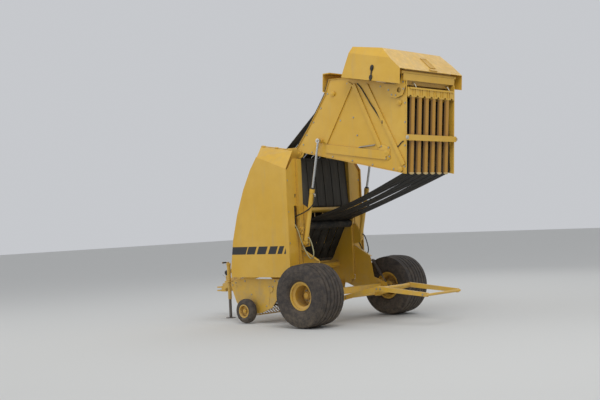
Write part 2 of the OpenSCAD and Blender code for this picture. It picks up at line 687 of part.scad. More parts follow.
tread_w = 484;
module tyre_profile() {
    r = tyre_d / 2;
    h = tyre_w / 2;
    t = tread_w / 2;
    rr = rim_d / 2 - 18;
    wall = 26;
    grooves = [-156, -78, 0, 78, 156];
    outer = concat(
        [[rr, -205], [rr + 20, -205], [rr + 40, -h + 12], [rr + 110, -h], [r - 100, -h + 4],
            [r - 26, -t - 8]],
        [for (g = grooves) each [[r - 3 - abs(g) * 0.07, g - 12], [r - 20 - abs(g) * 0.07, g - 7],
            [r - 20 - abs(g) * 0.07, g + 7], [r - 3 - abs(g) * 0.07, g + 12]]],
        [[r - 26, t + 8], [r - 100, h - 4], [rr + 110, h], [rr + 40, h - 12],
            [rr + 20, 205], [rr, 205]]);
    inner = [[rr, 170], [rr + 45, h - 12 - wall], [rr + 110, h - wall], [r - 120, h - 6 - wall],
        [r - 50, t - 20], [r - 50, -t + 20], [r - 120, -h + 6 + wall], [rr + 110, -h + wall],
        [rr + 45, -h + 12 + wall], [rr, -170]];
    polygon(concat(outer, inner));
}
module tyre_shape() translate([0, track / 2, axle_z]) rotate([-90, 0, 0])
    rotate_extrude($fn = 72) tyre_profile();
module left_tyre() color(rubber) in_frame() tyre_shape();
module right_tyre() color(rubber) in_frame() right() tyre_shape();

hub_r = 78;
module rim_shape() translate([0, track / 2, axle_z]) rotate([-90, 0, 0]) difference() {
    f = rim_d / 2;
    b = f - 18 - seat;
    union() {
        rotate_extrude($fn = 72) polygon([[f, -214], [f, -206], [b, -205.3], [b, -160], [b - 34, -130],
            [b - 34, 158], [b, 176], [b, 205.3], [f, 206], [f, 214], [b - 8, 212], [b - 8, 178],
            [b - 42, 160], [b - 42, -134], [b - 8, -164], [b - 8, -212]]);
        rotate_extrude($fn = 72) polygon([[b - 36, -20], [b - 36, -32], [110, -12], [110, -2]]);
        translate([0, 0, -12]) cylinder(r = 112, h = 12);
        translate([0, 0, -190]) cylinder(r = hub_r, h = 200);
        cylinder(r = 60, h = 70);
        translate([0, 0, 70]) cylinder(r1 = 56, r2 = 44, h = 24);
        for (k = [0:7]) rotate(k * 45) translate([92, 0, 0]) cylinder(r = 11, h = 16);
    }
    translate([0, 0, -191]) cylinder(r = spindle_r + fit, h = 256);
}
module left_rim() color(yellow) in_frame() rim_shape();
module right_rim() color(yellow) in_frame() right() rim_shape();

module at_gauge() translate([gauge_at.x, pickup_out + 40 + gauge_w / 2, gauge_at.y])
    rotate([-90, 0, 0]) children();
gauge_rim_r = 102;
module gauge_tyre_shape() at_gauge() rotate_extrude() {
    r = gauge_d / 2;
    h = gauge_w / 2;
    polygon([[gauge_rim_r, -h + 12], [gauge_rim_r + 30, -h], [r - 35, -h + 4], [r - 8, -h + 28],
        [r, -h + 50], [r, h - 50], [r - 8, h - 28], [r - 35, h - 4], [gauge_rim_r + 30, h],
        [gauge_rim_r, h - 12]]);
}
module gauge_rim_shape() at_gauge() difference() {
    h = gauge_w / 2;
    union() {
        rotate_extrude() polygon([[gauge_rim_r + 8, h - 8], [gauge_rim_r + 8, h - 3],
            [gauge_rim_r - 10, h - 3], [gauge_rim_r - 14, 10], [30, 10], [30, -2],
            [gauge_rim_r - 14, -2], [gauge_rim_r - 6, -h + 8], [gauge_rim_r - seat, -h + 8],
            [gauge_rim_r - seat, h - 12]]);
        translate([0, 0, -h + 8]) cylinder(r = 34, h = gauge_w - 30);
    }
    translate([0, 0, -h - 1]) cylinder(r = 16 + fit, h = gauge_w - 12);
}
module gauge_tyres_left() color(rubber) in_frame() gauge_tyre_shape();
module gauge_tyres_right() color(rubber) in_frame() right() gauge_tyre_shape();
module gauge_rim_left() color(yellow) in_frame() gauge_rim_shape();
module gauge_rim_right() color(yellow) in_frame() right() gauge_rim_shape();

// side shields

shield_rear = 520;
shield_front = [[1850, 760], [1860, 880], [1780, 1380], [1660, 1790], [1490, 2200],
    [1310, 2520], [1160, 2715]];
shield_fold = [shield_rear, 2480];
module shield_shape() {
    side_plate(concat([[shield_rear, 760]], shield_front, [shield_fold]),
        shield_y - sheet_t, sheet_t);
    for (i = [0:len(shield_front) - 2])
        side_plate(bar(shield_front[i] - [3, 0], shield_front[i + 1] - [3, 0], 5, 5),
            shield_y - 60, 60 - 1);
    side_plate([[shield_rear, 760], [shield_rear + sheet_t, 760], [shield_rear + sheet_t, 2480],
        [shield_rear, 2478]], shield_y - 22, 21);
    // top facet, creased from its front lower corner to its rear upper corner
    edge = [0, 7, -10];
    facet = [[shield_rear + 6, shield_y - 1, shield_fold.y - 3], [1150, shield_y - 1, 2707],
        hinge_a + edge, hinge_b + edge];
    inward = [0, -3, -3.5];
    polyhedron(points = concat(facet, [for (p = facet) p + inward]),
        faces = [[0, 1, 3], [1, 2, 3], [7, 5, 4], [7, 6, 5], [4, 5, 1, 0], [5, 6, 2, 1],
            [6, 7, 3, 2], [7, 4, 0, 3]]);
    for (t = [30, 320, 610]) difference() {
        tube(hinge_b + hinge_dir * t, hinge_b + hinge_dir * (t + 60), hinge_r + 7);
        tube(hinge_b, hinge_a, hinge_r + fit);
    }
}
module left_shield() color(yellow) in_frame() shield_shape();
module right_shield() color(yellow) in_frame() right() shield_shape();

left_wall();
right_wall();
rear_panels();
front_frame();
axle();
gussets();
tongue();
hitch();
jack_tube();
jack_leg();
gearbox();
driveline();
chain_drive();
frame_rollers();
tension_arm();
front_belts();
chamber_belts();
inner_belts();
lower_belts();
upper_belts();
cylinder_brackets();
ramp_springs();
left_gate_side();
right_gate_side();
gate_slats();
gate_frame();
gate_rollers();
gate_belts();
net_tray();
net_roll();
net_cover();
left_barrel();
right_barrel();
left_rod();
right_rod();
bale_ramp();
pickup_frame();
pickup_bands();
pickup_reel();
windguard();
left_tyre();
right_tyre();
left_rim();
right_rim();
gauge_tyres_left();
gauge_tyres_right();
gauge_rim_left();
gauge_rim_right();
left_shield();
right_shield();
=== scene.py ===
# Round baler with its tailgate raised, parked on its wheels and its drawbar jack
import bpy
import bmesh
import json
from math import asin, atan2, cos, hypot, pi, radians, sin
from mathutils import Matrix, Vector


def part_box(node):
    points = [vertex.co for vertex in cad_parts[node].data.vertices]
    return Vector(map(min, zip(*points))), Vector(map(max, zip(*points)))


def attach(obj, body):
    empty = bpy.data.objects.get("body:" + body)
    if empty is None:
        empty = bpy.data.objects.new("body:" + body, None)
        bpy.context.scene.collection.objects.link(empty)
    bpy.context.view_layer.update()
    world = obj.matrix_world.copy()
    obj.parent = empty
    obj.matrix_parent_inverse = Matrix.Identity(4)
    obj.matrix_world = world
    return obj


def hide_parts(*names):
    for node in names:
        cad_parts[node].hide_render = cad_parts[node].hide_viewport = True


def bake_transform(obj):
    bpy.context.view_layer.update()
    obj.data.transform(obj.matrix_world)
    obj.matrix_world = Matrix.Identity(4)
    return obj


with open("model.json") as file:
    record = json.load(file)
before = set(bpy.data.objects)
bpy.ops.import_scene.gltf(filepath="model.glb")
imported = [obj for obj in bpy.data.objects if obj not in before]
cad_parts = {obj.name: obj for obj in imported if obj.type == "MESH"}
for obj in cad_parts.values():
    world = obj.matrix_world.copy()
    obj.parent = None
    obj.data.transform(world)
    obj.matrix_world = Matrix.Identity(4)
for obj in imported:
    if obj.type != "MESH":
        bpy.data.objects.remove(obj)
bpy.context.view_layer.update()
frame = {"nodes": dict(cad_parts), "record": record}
nodes = frame["nodes"]
joints = {joint["name"]: joint for joint in frame["record"]["behaviour"]["joints"]}
print("frame loaded:", len(nodes), "nodes")

# places: millimetres from the axle and the floor, as on the drawings, to metres in the frame
midX = -joints["left_wheel_spin"]["pos_m"][0] * 1000
pivot = Vector((500, 0, 2740))
gateOpen = radians(77)
bothSides = (1, -1)
namedSides = (("left", 1), ("right", -1))


def spot(x, y, z):
    return Vector((x - midX, y, z)) / 1000


def swung(point):  # a point of the shut tailgate, as the gate stands open
    return pivot + Matrix.Rotation(gateOpen, 3, "Y") @ (Vector(point) - pivot)


def onGate(back, y, up):  # back and up from the gate's pivot, gate shut
    point = swung((pivot.x - back, y, pivot.z + up))
    return spot(point.x, point.y, point.z)


# Camera, floor and light

view = {
    "angle": 39.3, "distance": 17.0, "height": 1.669,  # from the middle of the axle
    "yaw": 2.749, "pitch": 1.061, "roll": -2.677,
    "lens": 62.94, "sensor": 36,
}


def addCamera():
    turn = radians(view["angle"])
    place = Vector((-view["distance"] * sin(turn) - midX / 1000, view["distance"] * cos(turn),
                    view["height"]))
    ahead = Matrix.Rotation(radians(view["yaw"]), 3, "Z") @ Vector((sin(turn), -cos(turn), 0))
    side = ahead.cross(Vector((0, 0, 1))).normalized()
    ahead = (ahead * cos(radians(view["pitch"])) + Vector((0, 0, sin(radians(view["pitch"]))))).normalized()
    up = side.cross(ahead)
    roll = Matrix.Rotation(radians(view["roll"]), 3, ahead)
    side, up = roll.inverted() @ side, roll.inverted() @ up
    data = bpy.data.cameras.new("camera")
    data.lens = view["lens"]
    data.sensor_width = view["sensor"]
    data.clip_end = 200
    camera = bpy.data.objects.new("camera", data)
    camera.matrix_world = Matrix((side, up, -ahead)).transposed().to_4x4()
    camera.location = place
    bpy.context.collection.objects.link(camera)
    bpy.context.scene.camera = camera


studio = {
    "floor": (0.62, 0.62, 0.60, 1), "sky": (0.86, 0.88, 0.92, 1), "skyLevel": 0.66, "aim": (-0.5, 0, 1.6),
    "lamps": {"key": ((-7, 5, 12), 640, 7), "fill": ((7, 7, 7), 150, 8), "rim": ((2, -9, 8), 150, 8)},
}


def addStudio():
    bpy.ops.mesh.primitive_plane_add(size=120, location=(0, 0, 0))
    floor = bpy.context.object
    floor.name = "floor"
    floorPaint = bpy.data.materials.new("floorPaint")
    floorPaint.use_nodes = True
    shader = floorPaint.node_tree.nodes["Principled BSDF"]
    shader.inputs["Base Color"].default_value = studio["floor"]
    shader.inputs["Roughness"].default_value = 0.9
    floor.data.materials.append(floorPaint)
    world = bpy.data.worlds.new("studio")
    bpy.context.scene.world = world
    world.use_nodes = True
    background = world.node_tree.nodes["Background"]
    background.inputs["Color"].default_value = studio["sky"]
    background.inputs["Strength"].default_value = studio["skyLevel"]
    for name, (place, power, size) in studio["lamps"].items():
        light = bpy.data.lights.new(name, "AREA")
        light.energy = power
        light.size = size
        lamp = bpy.data.objects.new(name, light)
        lamp.location = place
        lamp.rotation_euler = (Vector(studio["aim"]) - Vector(place)).to_track_quat("-Z", "Y").to_euler()
        bpy.context.collection.objects.link(lamp)
    bpy.context.scene.view_settings.view_transform = "Standard"


# Materials: node maths is written as Python expressions


class Wire:  # a node's output
    def __init__(self, surface, socket):
        self.surface = surface
        self.socket = socket

    def math(self, operation, first, second):
        return self.surface.add("ShaderNodeMath", {"operation": operation}, {0: first, 1: second})

    def __add__(self, other):
        return self.math("ADD", self, other)

    def __sub__(self, other):
        return self.math("SUBTRACT", self, other)

    def __rsub__(self, other):
        return self.math("SUBTRACT", other, self)

    def __mul__(self, other):
        return self.math("MULTIPLY", self, other)

    def __truediv__(self, other):
        return self.math("DIVIDE", self, other)

    def __mod__(self, other):
        return self.math("FLOORED_MODULO", self, other)

    def most(self, other):
        return self.math("MAXIMUM", self, other)

    def step(self, low, high):  # 0 below low, 1 above high, smooth between
        return self.surface.add("ShaderNodeMapRange", {"interpolation_type": "SMOOTHSTEP"},
                                {"Value": self, "From Min": low, "From Max": high})

    __radd__ = __add__
    __rmul__ = __mul__


class Surface:  # a material being wired up
    def __init__(self, name, **fixed):
        self.material = bpy.data.materials.new(name)
        self.material.use_nodes = True
        self.tree = self.material.node_tree
        self.shader = self.tree.nodes["Principled BSDF"]
        for key, value in fixed.items():
            self.shader.inputs[key.replace("_", " ")].default_value = value
        self.place = self.add("ShaderNodeTexCoord", {}, {}, "Object")
        split = self.add("ShaderNodeSeparateXYZ", {}, {0: self.place})
        self.x, self.y, self.z = (Wire(self, split.socket.node.outputs[i]) for i in range(3))

    def add(self, kind, settings, inputs, output=0):
        node = self.tree.nodes.new(kind)
        for key, value in settings.items():
            setattr(node, key, value)
        for key, value in inputs.items():
            if isinstance(value, Wire):
                self.tree.links.new(value.socket, node.inputs[key])
            else:
                node.inputs[key].default_value = value
        return Wire(self, node.outputs[output])

    def noise(self, scale, detail=4, rough=0.55, stretch=(1, 1, 1)):
        vector = self.place
        if stretch != (1, 1, 1):
            vector = self.add("ShaderNodeVectorMath", {"operation": "MULTIPLY"}, {0: vector, 1: stretch})
        return self.add("ShaderNodeTexNoise", {}, {"Vector": vector, "Scale": scale, "Detail": detail,
                                                   "Roughness": rough})

    def facing(self, axis):  # 1 where the surface faces up (2), forward (0) or left (1)
        normal = self.add("ShaderNodeNewGeometry", {}, {}, "Normal")
        split = self.add("ShaderNodeSeparateXYZ", {}, {0: normal})
        return Wire(self, split.socket.node.outputs[axis])

    def mix(self, factor, first, second):
        def colour(value):
            return value if isinstance(value, Wire) else (*value, 1)
        return self.add("ShaderNodeMix", {"data_type": "RGBA"},
                        {0: factor, 6: colour(first), 7: colour(second)}, 2)

    # ambient occlusion, used both for dirt that gathers in corners and for painted shade there
    def grimeAndShade(self, reach):  # 1 in corners, 0 in the open
        shade = self.add("ShaderNodeAmbientOcclusion", {"samples": 6}, {"Distance": reach}, "AO")
        return 1 - shade

    def close(self, colour, roughness, height=None, strength=0.3, distance=0.002, **others):
        def plug(name, value):
            if isinstance(value, Wire):
                self.tree.links.new(value.socket, self.shader.inputs[name])
            else:
                self.shader.inputs[name].default_value = value
        plug("Base Color", colour if isinstance(colour, Wire) else (*colour, 1))
        plug("Roughness", roughness)
        for key, value in others.items():
            plug(key.replace("_", " "), value)
        if height is not None:
            plug("Normal", self.add("ShaderNodeBump", {}, {"Strength": strength, "Distance": distance,
                                                          "Height": height}))
        return self.material


paint = {
    "yellow": (0.72, 0.42, 0.036), "pale": (0.76, 0.48, 0.085), "deep": (0.62, 0.33, 0.020),
    "dust": (0.46, 0.34, 0.18), "creaseShade": (0.19, 0.095, 0.018), "rust": (0.13, 0.055, 0.022),
    "worn": (0.32, 0.105, 0.005), "slatEdgeShade": (0.085, 0.042, 0.010), "black": (0.022, 0.022, 0.021),
}
slatWearAndShade = {  # metres; edge, where the painted shade on each slat's left side lies, is a share of the pitch
    "pitch": 0.18, "beam": (2.755, 2.853), "comb": (3.385, 3.41), "edge": (0.64, 0.80),
}


def bodyPaint(name, striped=False, dirt=1.0, worn=0.0):
    s = Surface(name, Specular_IOR_Level=0.45, Coat_Roughness=0.25)
    patches = s.noise(1.3, 3).step(0.35, 0.68)
    fading = s.noise(7, 5, 0.6).step(0.3, 0.75)
    colour = s.mix(patches * 0.55, paint["yellow"], paint["pale"])
    colour = s.mix(fading * 0.28, colour, paint["deep"])
    streaks = s.noise(9, 6, 0.7, (1, 1, 0.11)).step(0.52, 0.74)
    colour = s.mix(streaks * 0.22, colour, paint["dust"])
    if worn:  # the slats, apart from their cross-beam and comb
        low, high = slatWearAndShade["beam"]
        beam = s.z.step(low, low + 0.005) * (1 - s.z.step(high - 0.005, high))
        slats = (1 - beam) * (1 - s.z.step(*slatWearAndShade["comb"]))
        # the slats' own browner worn paint, made stronger in hollows, which is painted shade
        colour = s.mix((s.grimeAndShade(0.12).step(0.1, 0.8) * 0.4 + 0.6) * slats * worn, colour, paint["worn"])
        # painted shade along each slat's left edge, where its side faces away from the light
        edge = ((s.y / slatWearAndShade["pitch"]) % 1).step(*slatWearAndShade["edge"])
        colour = s.mix(edge * slats * 0.8, colour, paint["slatEdgeShade"])
    if striped:
        colour = s.mix(sideStripe(s), colour, paint["black"])
    # dust gathered in corners, which also darkens them as painted shade
    grimeAndShade = s.grimeAndShade(0.16).step(0.22, 0.8)
    smears = s.noise(5, 6, 0.7).step(0.38, 0.66)
    colour = s.mix(grimeAndShade * (0.25 + smears * 0.4) * dirt, colour, paint["dust"])
    # painted shade: a dark line in tight corners and creases, such as beside the ribs
    colour = s.mix(s.grimeAndShade(0.035).step(0.30, 0.85) * 0.8, colour, paint["creaseShade"])
    ledges = s.facing(2).step(0.3, 0.9) * s.noise(14, 5).step(0.3, 0.62)
    low = 1 - s.z.step(0.25, 1.15)
    dust = (ledges * 0.5).most(low * s.noise(6, 5, 0.65).step(0.35, 0.7) * 0.55) * dirt
    colour = s.mix(dust, colour, paint["dust"])
    chips = s.noise(60, 3, 0.6).step(0.70, 0.735) * s.noise(2.2, 3).step(0.42, 0.62)
    colour = s.mix((chips * 0.85).most(grimeAndShade * s.noise(38, 4).step(0.56, 0.66) * 0.6), colour, paint["rust"])
    roughness = 0.36 + smears * 0.14 + dust * 0.35 + chips * 0.3
    height = s.noise(34, 3) * 0.25 + s.noise(2.6, 2) - chips * 0.4
    return s.close(colour, roughness, height, 0.16, 0.004, Coat_Weight=0.22 - dust * 0.2)


stripe = {  # slanted blocks: rear and front edge of each, in metres from the axle
    "blocks": ((0.50, 0.637), (0.681, 0.784), (0.821, 0.991), (1.047, 1.248), (1.294, 1.481), (1.502, 1.98)),
    "low": 1.132, "high": 1.258, "rear": 0.592, "slant": 0.47, "blur": 0.002,
}


def sideStripe(s):
    def beyond(wire, edge):
        return wire.step(edge, edge + stripe["blur"])
    place = s.x + midX / 1000
    along = place + (s.z - stripe["low"]) * stripe["slant"]
    blocks = None
    for rear, front in stripe["blocks"]:
        block = beyond(along, rear) * (1 - beyond(along, front))
        blocks = block if blocks is None else blocks.most(block)
    level = beyond(s.z, stripe["low"]) * (1 - beyond(s.z, stripe["high"]))
    return blocks * beyond(place, stripe["rear"]) * level


def beltRubber(name, dark, rubbed, shine):
    s = Surface(name, Specular_IOR_Level=shine)
    rub = s.noise(20, 5, 0.6, (0.12, 1, 0.12)).step(0.38, 0.68)
    colour = s.mix(rub * 0.6, dark, rubbed)
    chaff = s.noise(240, 2, 0.5).step(0.70, 0.735) * s.noise(9, 3).step(0.40, 0.62)
    colour = s.mix(chaff * 0.7, colour, (0.32, 0.28, 0.17))
    dust = s.noise(4, 6, 0.7).step(0.44, 0.72)
    colour = s.mix(dust * 0.28, colour, (0.15, 0.135, 0.105))
    weave = s.add("ShaderNodeTexWave", {"wave_type": "BANDS", "bands_direction": "Y"},
                  {"Vector": s.place, "Scale": 62, "Distortion": 0.4})
    return s.close(colour, 0.6 + dust * 0.2 + rub * 0.1, weave + s.noise(150, 3) * 0.6, 0.16, 0.0012)


def tyreRubber():
    s = Surface("tyreRubber", Specular_IOR_Level=0.35)
    cake = s.noise(11, 6, 0.7).step(0.36, 0.66)
    colour = s.mix(cake * 0.62, (0.044, 0.038, 0.035), (0.135, 0.108, 0.085))
    low = 1 - s.z.step(0.0, 0.42)
    colour = s.mix(low * s.noise(16, 6, 0.7).step(0.35, 0.66) * 0.6, colour, (0.20, 0.16, 0.11))
    specks = s.noise(120, 2).step(0.69, 0.73)
    colour = s.mix(specks * 0.35, colour, (0.30, 0.26, 0.19))
    colour = s.mix(s.grimeAndShade(0.05).step(0.3, 0.9) * 0.5, colour, (0.10, 0.08, 0.06))
    return s.close(colour, 0.72 + cake * 0.16, s.noise(70, 5, 0.6) + cake * 0.5, 0.3, 0.0015)


def wornSteel(name, colour, roughness, metallic=0.9, rust=0.3):
    s = Surface(name, Specular_IOR_Level=0.5)
    scuff = s.noise(45, 5, 0.65).step(0.36, 0.68)
    base = s.mix(scuff * 0.4, colour, tuple(v * 0.45 for v in colour))
    oxide = s.noise(13, 6, 0.7).step(0.50, 0.70) * rust
    base = s.mix(oxide.most(s.grimeAndShade(0.04).step(0.3, 0.9) * 0.5), base, (0.12, 0.07, 0.04))
    return s.close(base, roughness + scuff * 0.14 + oxide * 0.3, s.noise(90, 4), 0.12, 0.001,
                   Metallic=(1 - oxide) * metallic)


def darkPaint(name, colour=(0.03, 0.03, 0.029), roughness=0.45):
    s = Surface(name, Specular_IOR_Level=0.4)
    film = s.noise(8, 6, 0.7).step(0.40, 0.70)
    base = s.mix(film * 0.4, colour, (0.17, 0.14, 0.10))
    bare = s.noise(50, 4, 0.6).step(0.66, 0.70)
    base = s.mix(bare * 0.6, base, (0.24, 0.20, 0.16))
    return s.close(base, roughness + film * 0.25, s.noise(60, 4), 0.15, 0.001)


def wovenNet():
    s = Surface("wovenNet", Specular_IOR_Level=0.3)
    turns = s.add("ShaderNodeTexWave", {"wave_type": "BANDS", "bands_direction": "Y"},
                  {"Vector": s.place, "Scale": 90, "Distortion": 1.5})
    colour = s.mix(turns.step(0.3, 0.8), (0.62, 0.62, 0.58), (0.40, 0.40, 0.37))
    return s.close(colour, 0.8, turns, 0.4, 0.002)


addCamera()
addStudio()
finishes = {  # for each material slot of the record
    "paint": bodyPaint("balerPaint"),
    "iron": darkPaint("rollerPaint"),
    "guard": darkPaint("guardPlastic", (0.028, 0.028, 0.030), 0.5),
    # a lighter copy of the belt rubber: painted light for the belts that stand lit; the darker belt copy below
    # is the same rubber
    "belting": beltRubber("beltRubber", (0.070, 0.064, 0.052), (0.125, 0.116, 0.095), 0.3),
    "tyre_rubber": tyreRubber(),
    "rod_chrome": wornSteel("rodChrome", (0.66, 0.66, 0.64), 0.20, 0.95, 0.06),
    "spring_steel": wornSteel("springSteel", (0.20, 0.18, 0.16), 0.45, 0.8, 0.5),
    "net": wovenNet(),
}
shieldPaint = bodyPaint("shieldPaint", striped=True, dirt=0.45)
slatPaint = bodyPaint("slatPaint", worn=0.9)
# painted shade: a darker, less shiny copy of the belt rubber for the belts that stand in shade
shadedBelt = beltRubber("shadedBelt", (0.015, 0.014, 0.012), (0.032, 0.030, 0.026), 0.12)
slatGold = wornSteel("slatGold", (0.74, 0.55, 0.24), 0.42, 0.1, 0.2)
boltSteel = wornSteel("boltSteel", (0.50, 0.47, 0.40), 0.38, 0.85, 0.25)
palePlating = wornSteel("palePlating", (0.66, 0.62, 0.50), 0.42, 0.5, 0.15)
# painted shade: a darker, duller copy of the roller paint, for the frame rollers that stand in shade behind the
# belts
shadedIron = darkPaint("shadedIron", (0.012, 0.011, 0.010), 0.75)
blackRubber = darkPaint("blackRubber", (0.018, 0.018, 0.018), 0.55)
paleHose = darkPaint("paleHose", (0.42, 0.38, 0.20), 0.45)
ownLooks = {"left_shield": shieldPaint, "right_shield": shieldPaint, "gate_slats": slatPaint,
            "chamber_belts": shadedBelt, "gate_belts": shadedBelt, "frame_rollers": shadedIron}
for part in frame["record"]["subparts"]:
    cadNode = nodes[part["node"]]
    cadNode.data.materials.clear()
    cadNode.data.materials.append(ownLooks.get(part["node"], finishes[part["material_slot"]]))
print("camera, studio and materials ready")


# Modelling helpers


def deselectAll():
    if bpy.context.mode != "OBJECT":
        bpy.ops.object.mode_set(mode="OBJECT")
    bpy.ops.object.select_all(action="DESELECT")


def pick(obj):
    deselectAll()
    obj.select_set(True)
    bpy.context.view_layer.objects.active = obj


def edit(obj, kind="FACE"):
    pick(obj)
    bpy.ops.object.mode_set(mode="EDIT")
    bpy.ops.mesh.select_mode(type=kind)


def chooseFaces(obj, test):  # in edit mode, select only the faces that the test is true of
    bpy.ops.mesh.select_mode(type="FACE")
    mesh = bmesh.from_edit_mesh(obj.data)
    for group in (mesh.verts, mesh.edges, mesh.faces):
        for item in group:
            item.select = False
    for face in mesh.faces:
        if test(face):
            face.select_set(True)
    mesh.select_flush_mode()
    bmesh.update_edit_mesh(obj.data)


def settle(obj):  # its place goes into its mesh
    pick(obj)
    bpy.ops.object.transform_apply(location=True, rotation=True, scale=True)


def applyAll(obj):
    pick(obj)
    for modifier in list(obj.modifiers):
        bpy.ops.object.modifier_apply(modifier=modifier.name)


def dress(obj, name, look, body, smooth=35, replaced=()):
    obj.name = name
    obj.data.name = name
    obj.data.materials.clear()
    obj.data.materials.append(look)
    applyAll(obj)
    settle(obj)
    bpy.ops.object.shade_smooth_by_angle(angle=radians(smooth))
    if body:
        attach(obj, body)
    if replaced:
        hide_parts(*replaced)


def joinAll(pieces):
    deselectAll()
    for piece in pieces:
        piece.select_set(True)
    bpy.context.view_layer.objects.active = pieces[0]
    bpy.ops.object.join()
    return bpy.context.view_layer.objects.active


def copyAt(obj, place):  # a copy with its own mesh, its frame laid on the matrix
    copy = obj.copy()
    copy.data = obj.data.copy()
    copy.data.transform(place)
    bpy.context.collection.objects.link(copy)
    return copy


def remove(obj):
    bpy.data.objects.remove(obj, do_unlink=True)


def lathe(profile, steps):  # (radius, along) pairs turned about Z
    deselectAll()
    bpy.ops.mesh.primitive_circle_add(vertices=steps, radius=profile[0][0], location=(0, 0, 0))
    obj = bpy.context.object
    edit(obj, "EDGE")
    bpy.ops.mesh.select_all(action="SELECT")
    bpy.ops.transform.translate(value=(0, 0, profile[0][1]))
    for (r0, z0), (r1, z1) in zip(profile, profile[1:]):
        bpy.ops.mesh.extrude_edges_move(TRANSFORM_OT_translate={"value": (0, 0, z1 - z0)})
        bpy.ops.transform.resize(value=(r1 / r0, r1 / r0, 1))
    bpy.ops.mesh.select_all(action="SELECT")
    bpy.ops.mesh.remove_doubles(threshold=0.00002)
    bpy.ops.mesh.normals_make_consistent(inside=False)
    bpy.ops.object.mode_set(mode="OBJECT")
    return obj


def alongY(side=1):  # turns a lathed piece's Z to the machine's left or right
    return Matrix.Rotation(-pi / 2 * side, 4, "X")


def lathedAcross(profile, steps, place, side=1):  # turned about the machine's left-right line through a place
    obj = lathe(profile, steps)
    obj.data.transform(Matrix.Translation(place) @ alongY(side))
    return obj


def copiesAcross(pattern, places, side=1):  # the same for many places; the pattern itself goes
    copies = [copyAt(pattern, Matrix.Translation(place) @ alongY(side)) for place in places]
    remove(pattern)
    return copies


def block(size, place):
    deselectAll()
    bpy.ops.mesh.primitive_cube_add(size=1, location=place)
    obj = bpy.context.object
    obj.scale = size
    settle(obj)
    return obj


# Main tyres

mainTyre = {"steps": 144, "radius": 0.498, "rim": 0.2045, "half": 0.2705, "tread": 0.242,
            "grooves": (-0.156, -0.078, 0, 0.078, 0.156), "depth": 0.019, "grooveHalf": 0.010}


def tyreSection():
    t = mainTyre
    r, h, rim = t["radius"], t["half"], t["rim"]
    side = [(rim, 0.205), (rim + 0.021, 0.207), (rim + 0.030, 0.232), (rim + 0.040, 0.252),
            (rim + 0.058, 0.264), (rim + 0.064, 0.2625), (rim + 0.080, 0.269), (rim + 0.110, h),
            (rim + 0.150, h), (r - 0.128, h - 0.001), (r - 0.122, h + 0.002), (r - 0.112, h - 0.001),
            (r - 0.086, h - 0.004), (r - 0.062, 0.2625), (r - 0.056, 0.258), (r - 0.030, t["tread"] + 0.0105),
            (r - 0.020, t["tread"] + 0.004)]
    tread = []
    for g in reversed(t["grooves"]):
        drop = abs(g) * 0.07 + 0.001
        wide, deep = t["grooveHalf"], t["depth"]
        edge = r - drop
        tread += [(edge, g + wide + 0.003), (edge - 0.004, g + wide), (edge - deep, g + wide - 0.003),
                  (edge - deep, g - wide + 0.003), (edge - 0.004, g - wide), (edge, g - wide - 0.003)]
    inner = [(rim, -0.17), (rim + 0.05, -0.23), (r - 0.12, -0.235), (r - 0.05, -0.19), (r - 0.05, 0.19),
             (r - 0.12, 0.235), (rim + 0.05, 0.23), (rim, 0.17)]
    return side + tread + [(radius, -along) for radius, along in reversed(side)] + inner + [(rim, 0.205)]


def buildMainTyres():
    t = mainTyre
    tyre = lathe(tyreSection(), t["steps"])
    edit(tyre)

    def notch(face):  # every third block of the shoulder ribs is cut at its edge
        middle = face.calc_center_median()
        step = round((atan2(middle.y, middle.x) + pi) / (2 * pi) * t["steps"] - 0.5)
        out = hypot(middle.x, middle.y)
        shoulder = t["tread"] - 0.03 < abs(middle.z) < t["tread"] + 0.02
        return step % 3 == 0 and out > t["radius"] - 0.03 and shoulder
    chooseFaces(tyre, notch)
    bpy.ops.mesh.extrude_region_shrink_fatten(TRANSFORM_OT_shrink_fatten={"value": -0.006})
    bpy.ops.object.mode_set(mode="OBJECT")
    for name, side in namedSides:
        middle = Vector(joints[name + "_wheel_spin"]["pos_m"])
        piece = copyAt(tyre, Matrix.Translation(middle) @ alongY(side))
        dress(piece, name + "MainTyre", finishes["tyre_rubber"], name + "_wheel", 32,
              (name + "_tyre",))
    remove(tyre)
    print("main tyres built")


buildMainTyres()


# Belts between the frame and the tailgate

looseBelts = {"cuts": 26, "sag": 0.035, "pairing": 0.14, "drawIn": 0.08, "frameEnd": (526, 0, 1563),
              "gateEnd": (60, 0, -2030)}


def buildLowerBelts():
    belts = copyAt(nodes["lower_belts"], Matrix.Identity(4))
    belts.parent = None
    edit(belts)
    bpy.ops.mesh.select_all(action="SELECT")
    bpy.ops.mesh.remove_doubles(threshold=0.0001)
    bpy.ops.mesh.tris_convert_to_quads()
    low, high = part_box("lower_belts")
    for i in range(1, looseBelts["cuts"]):
        x = low[0] + (high[0] - low[0]) * i / looseBelts["cuts"]
        bpy.ops.mesh.select_all(action="SELECT")
        bpy.ops.mesh.bisect(plane_co=(x, 0, 0), plane_no=(1, 0, 0))
    bpy.ops.object.mode_set(mode="OBJECT")
    hang = high[0] - low[0]
    pair = (high[1] - low[1]) / 3
    for vertex in belts.data.vertices:  # the belts hang, draw together and lie in pairs
        slack = sin(pi * (vertex.co.x - low[0]) / hang)
        centre = low[1] + pair * (min(int((vertex.co.y - low[1]) / pair), 2) + 0.5)
        vertex.co.y = centre + (vertex.co.y - centre) * (1 - looseBelts["pairing"] * slack ** 3)
        vertex.co.y *= 1 - looseBelts["drawIn"] * slack
        vertex.co.z -= looseBelts["sag"] * slack
    dress(belts, "lowerBelts", shadedBelt, None, 30, ("lower_belts",))
    tuple(spot(*looseBelts["frameEnd"]))
    tuple(onGate(*looseBelts["gateEnd"]))
    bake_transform(belts)
    print("loose belts built")


buildLowerBelts()


# Fasteners: one hexagon head is modelled and copied


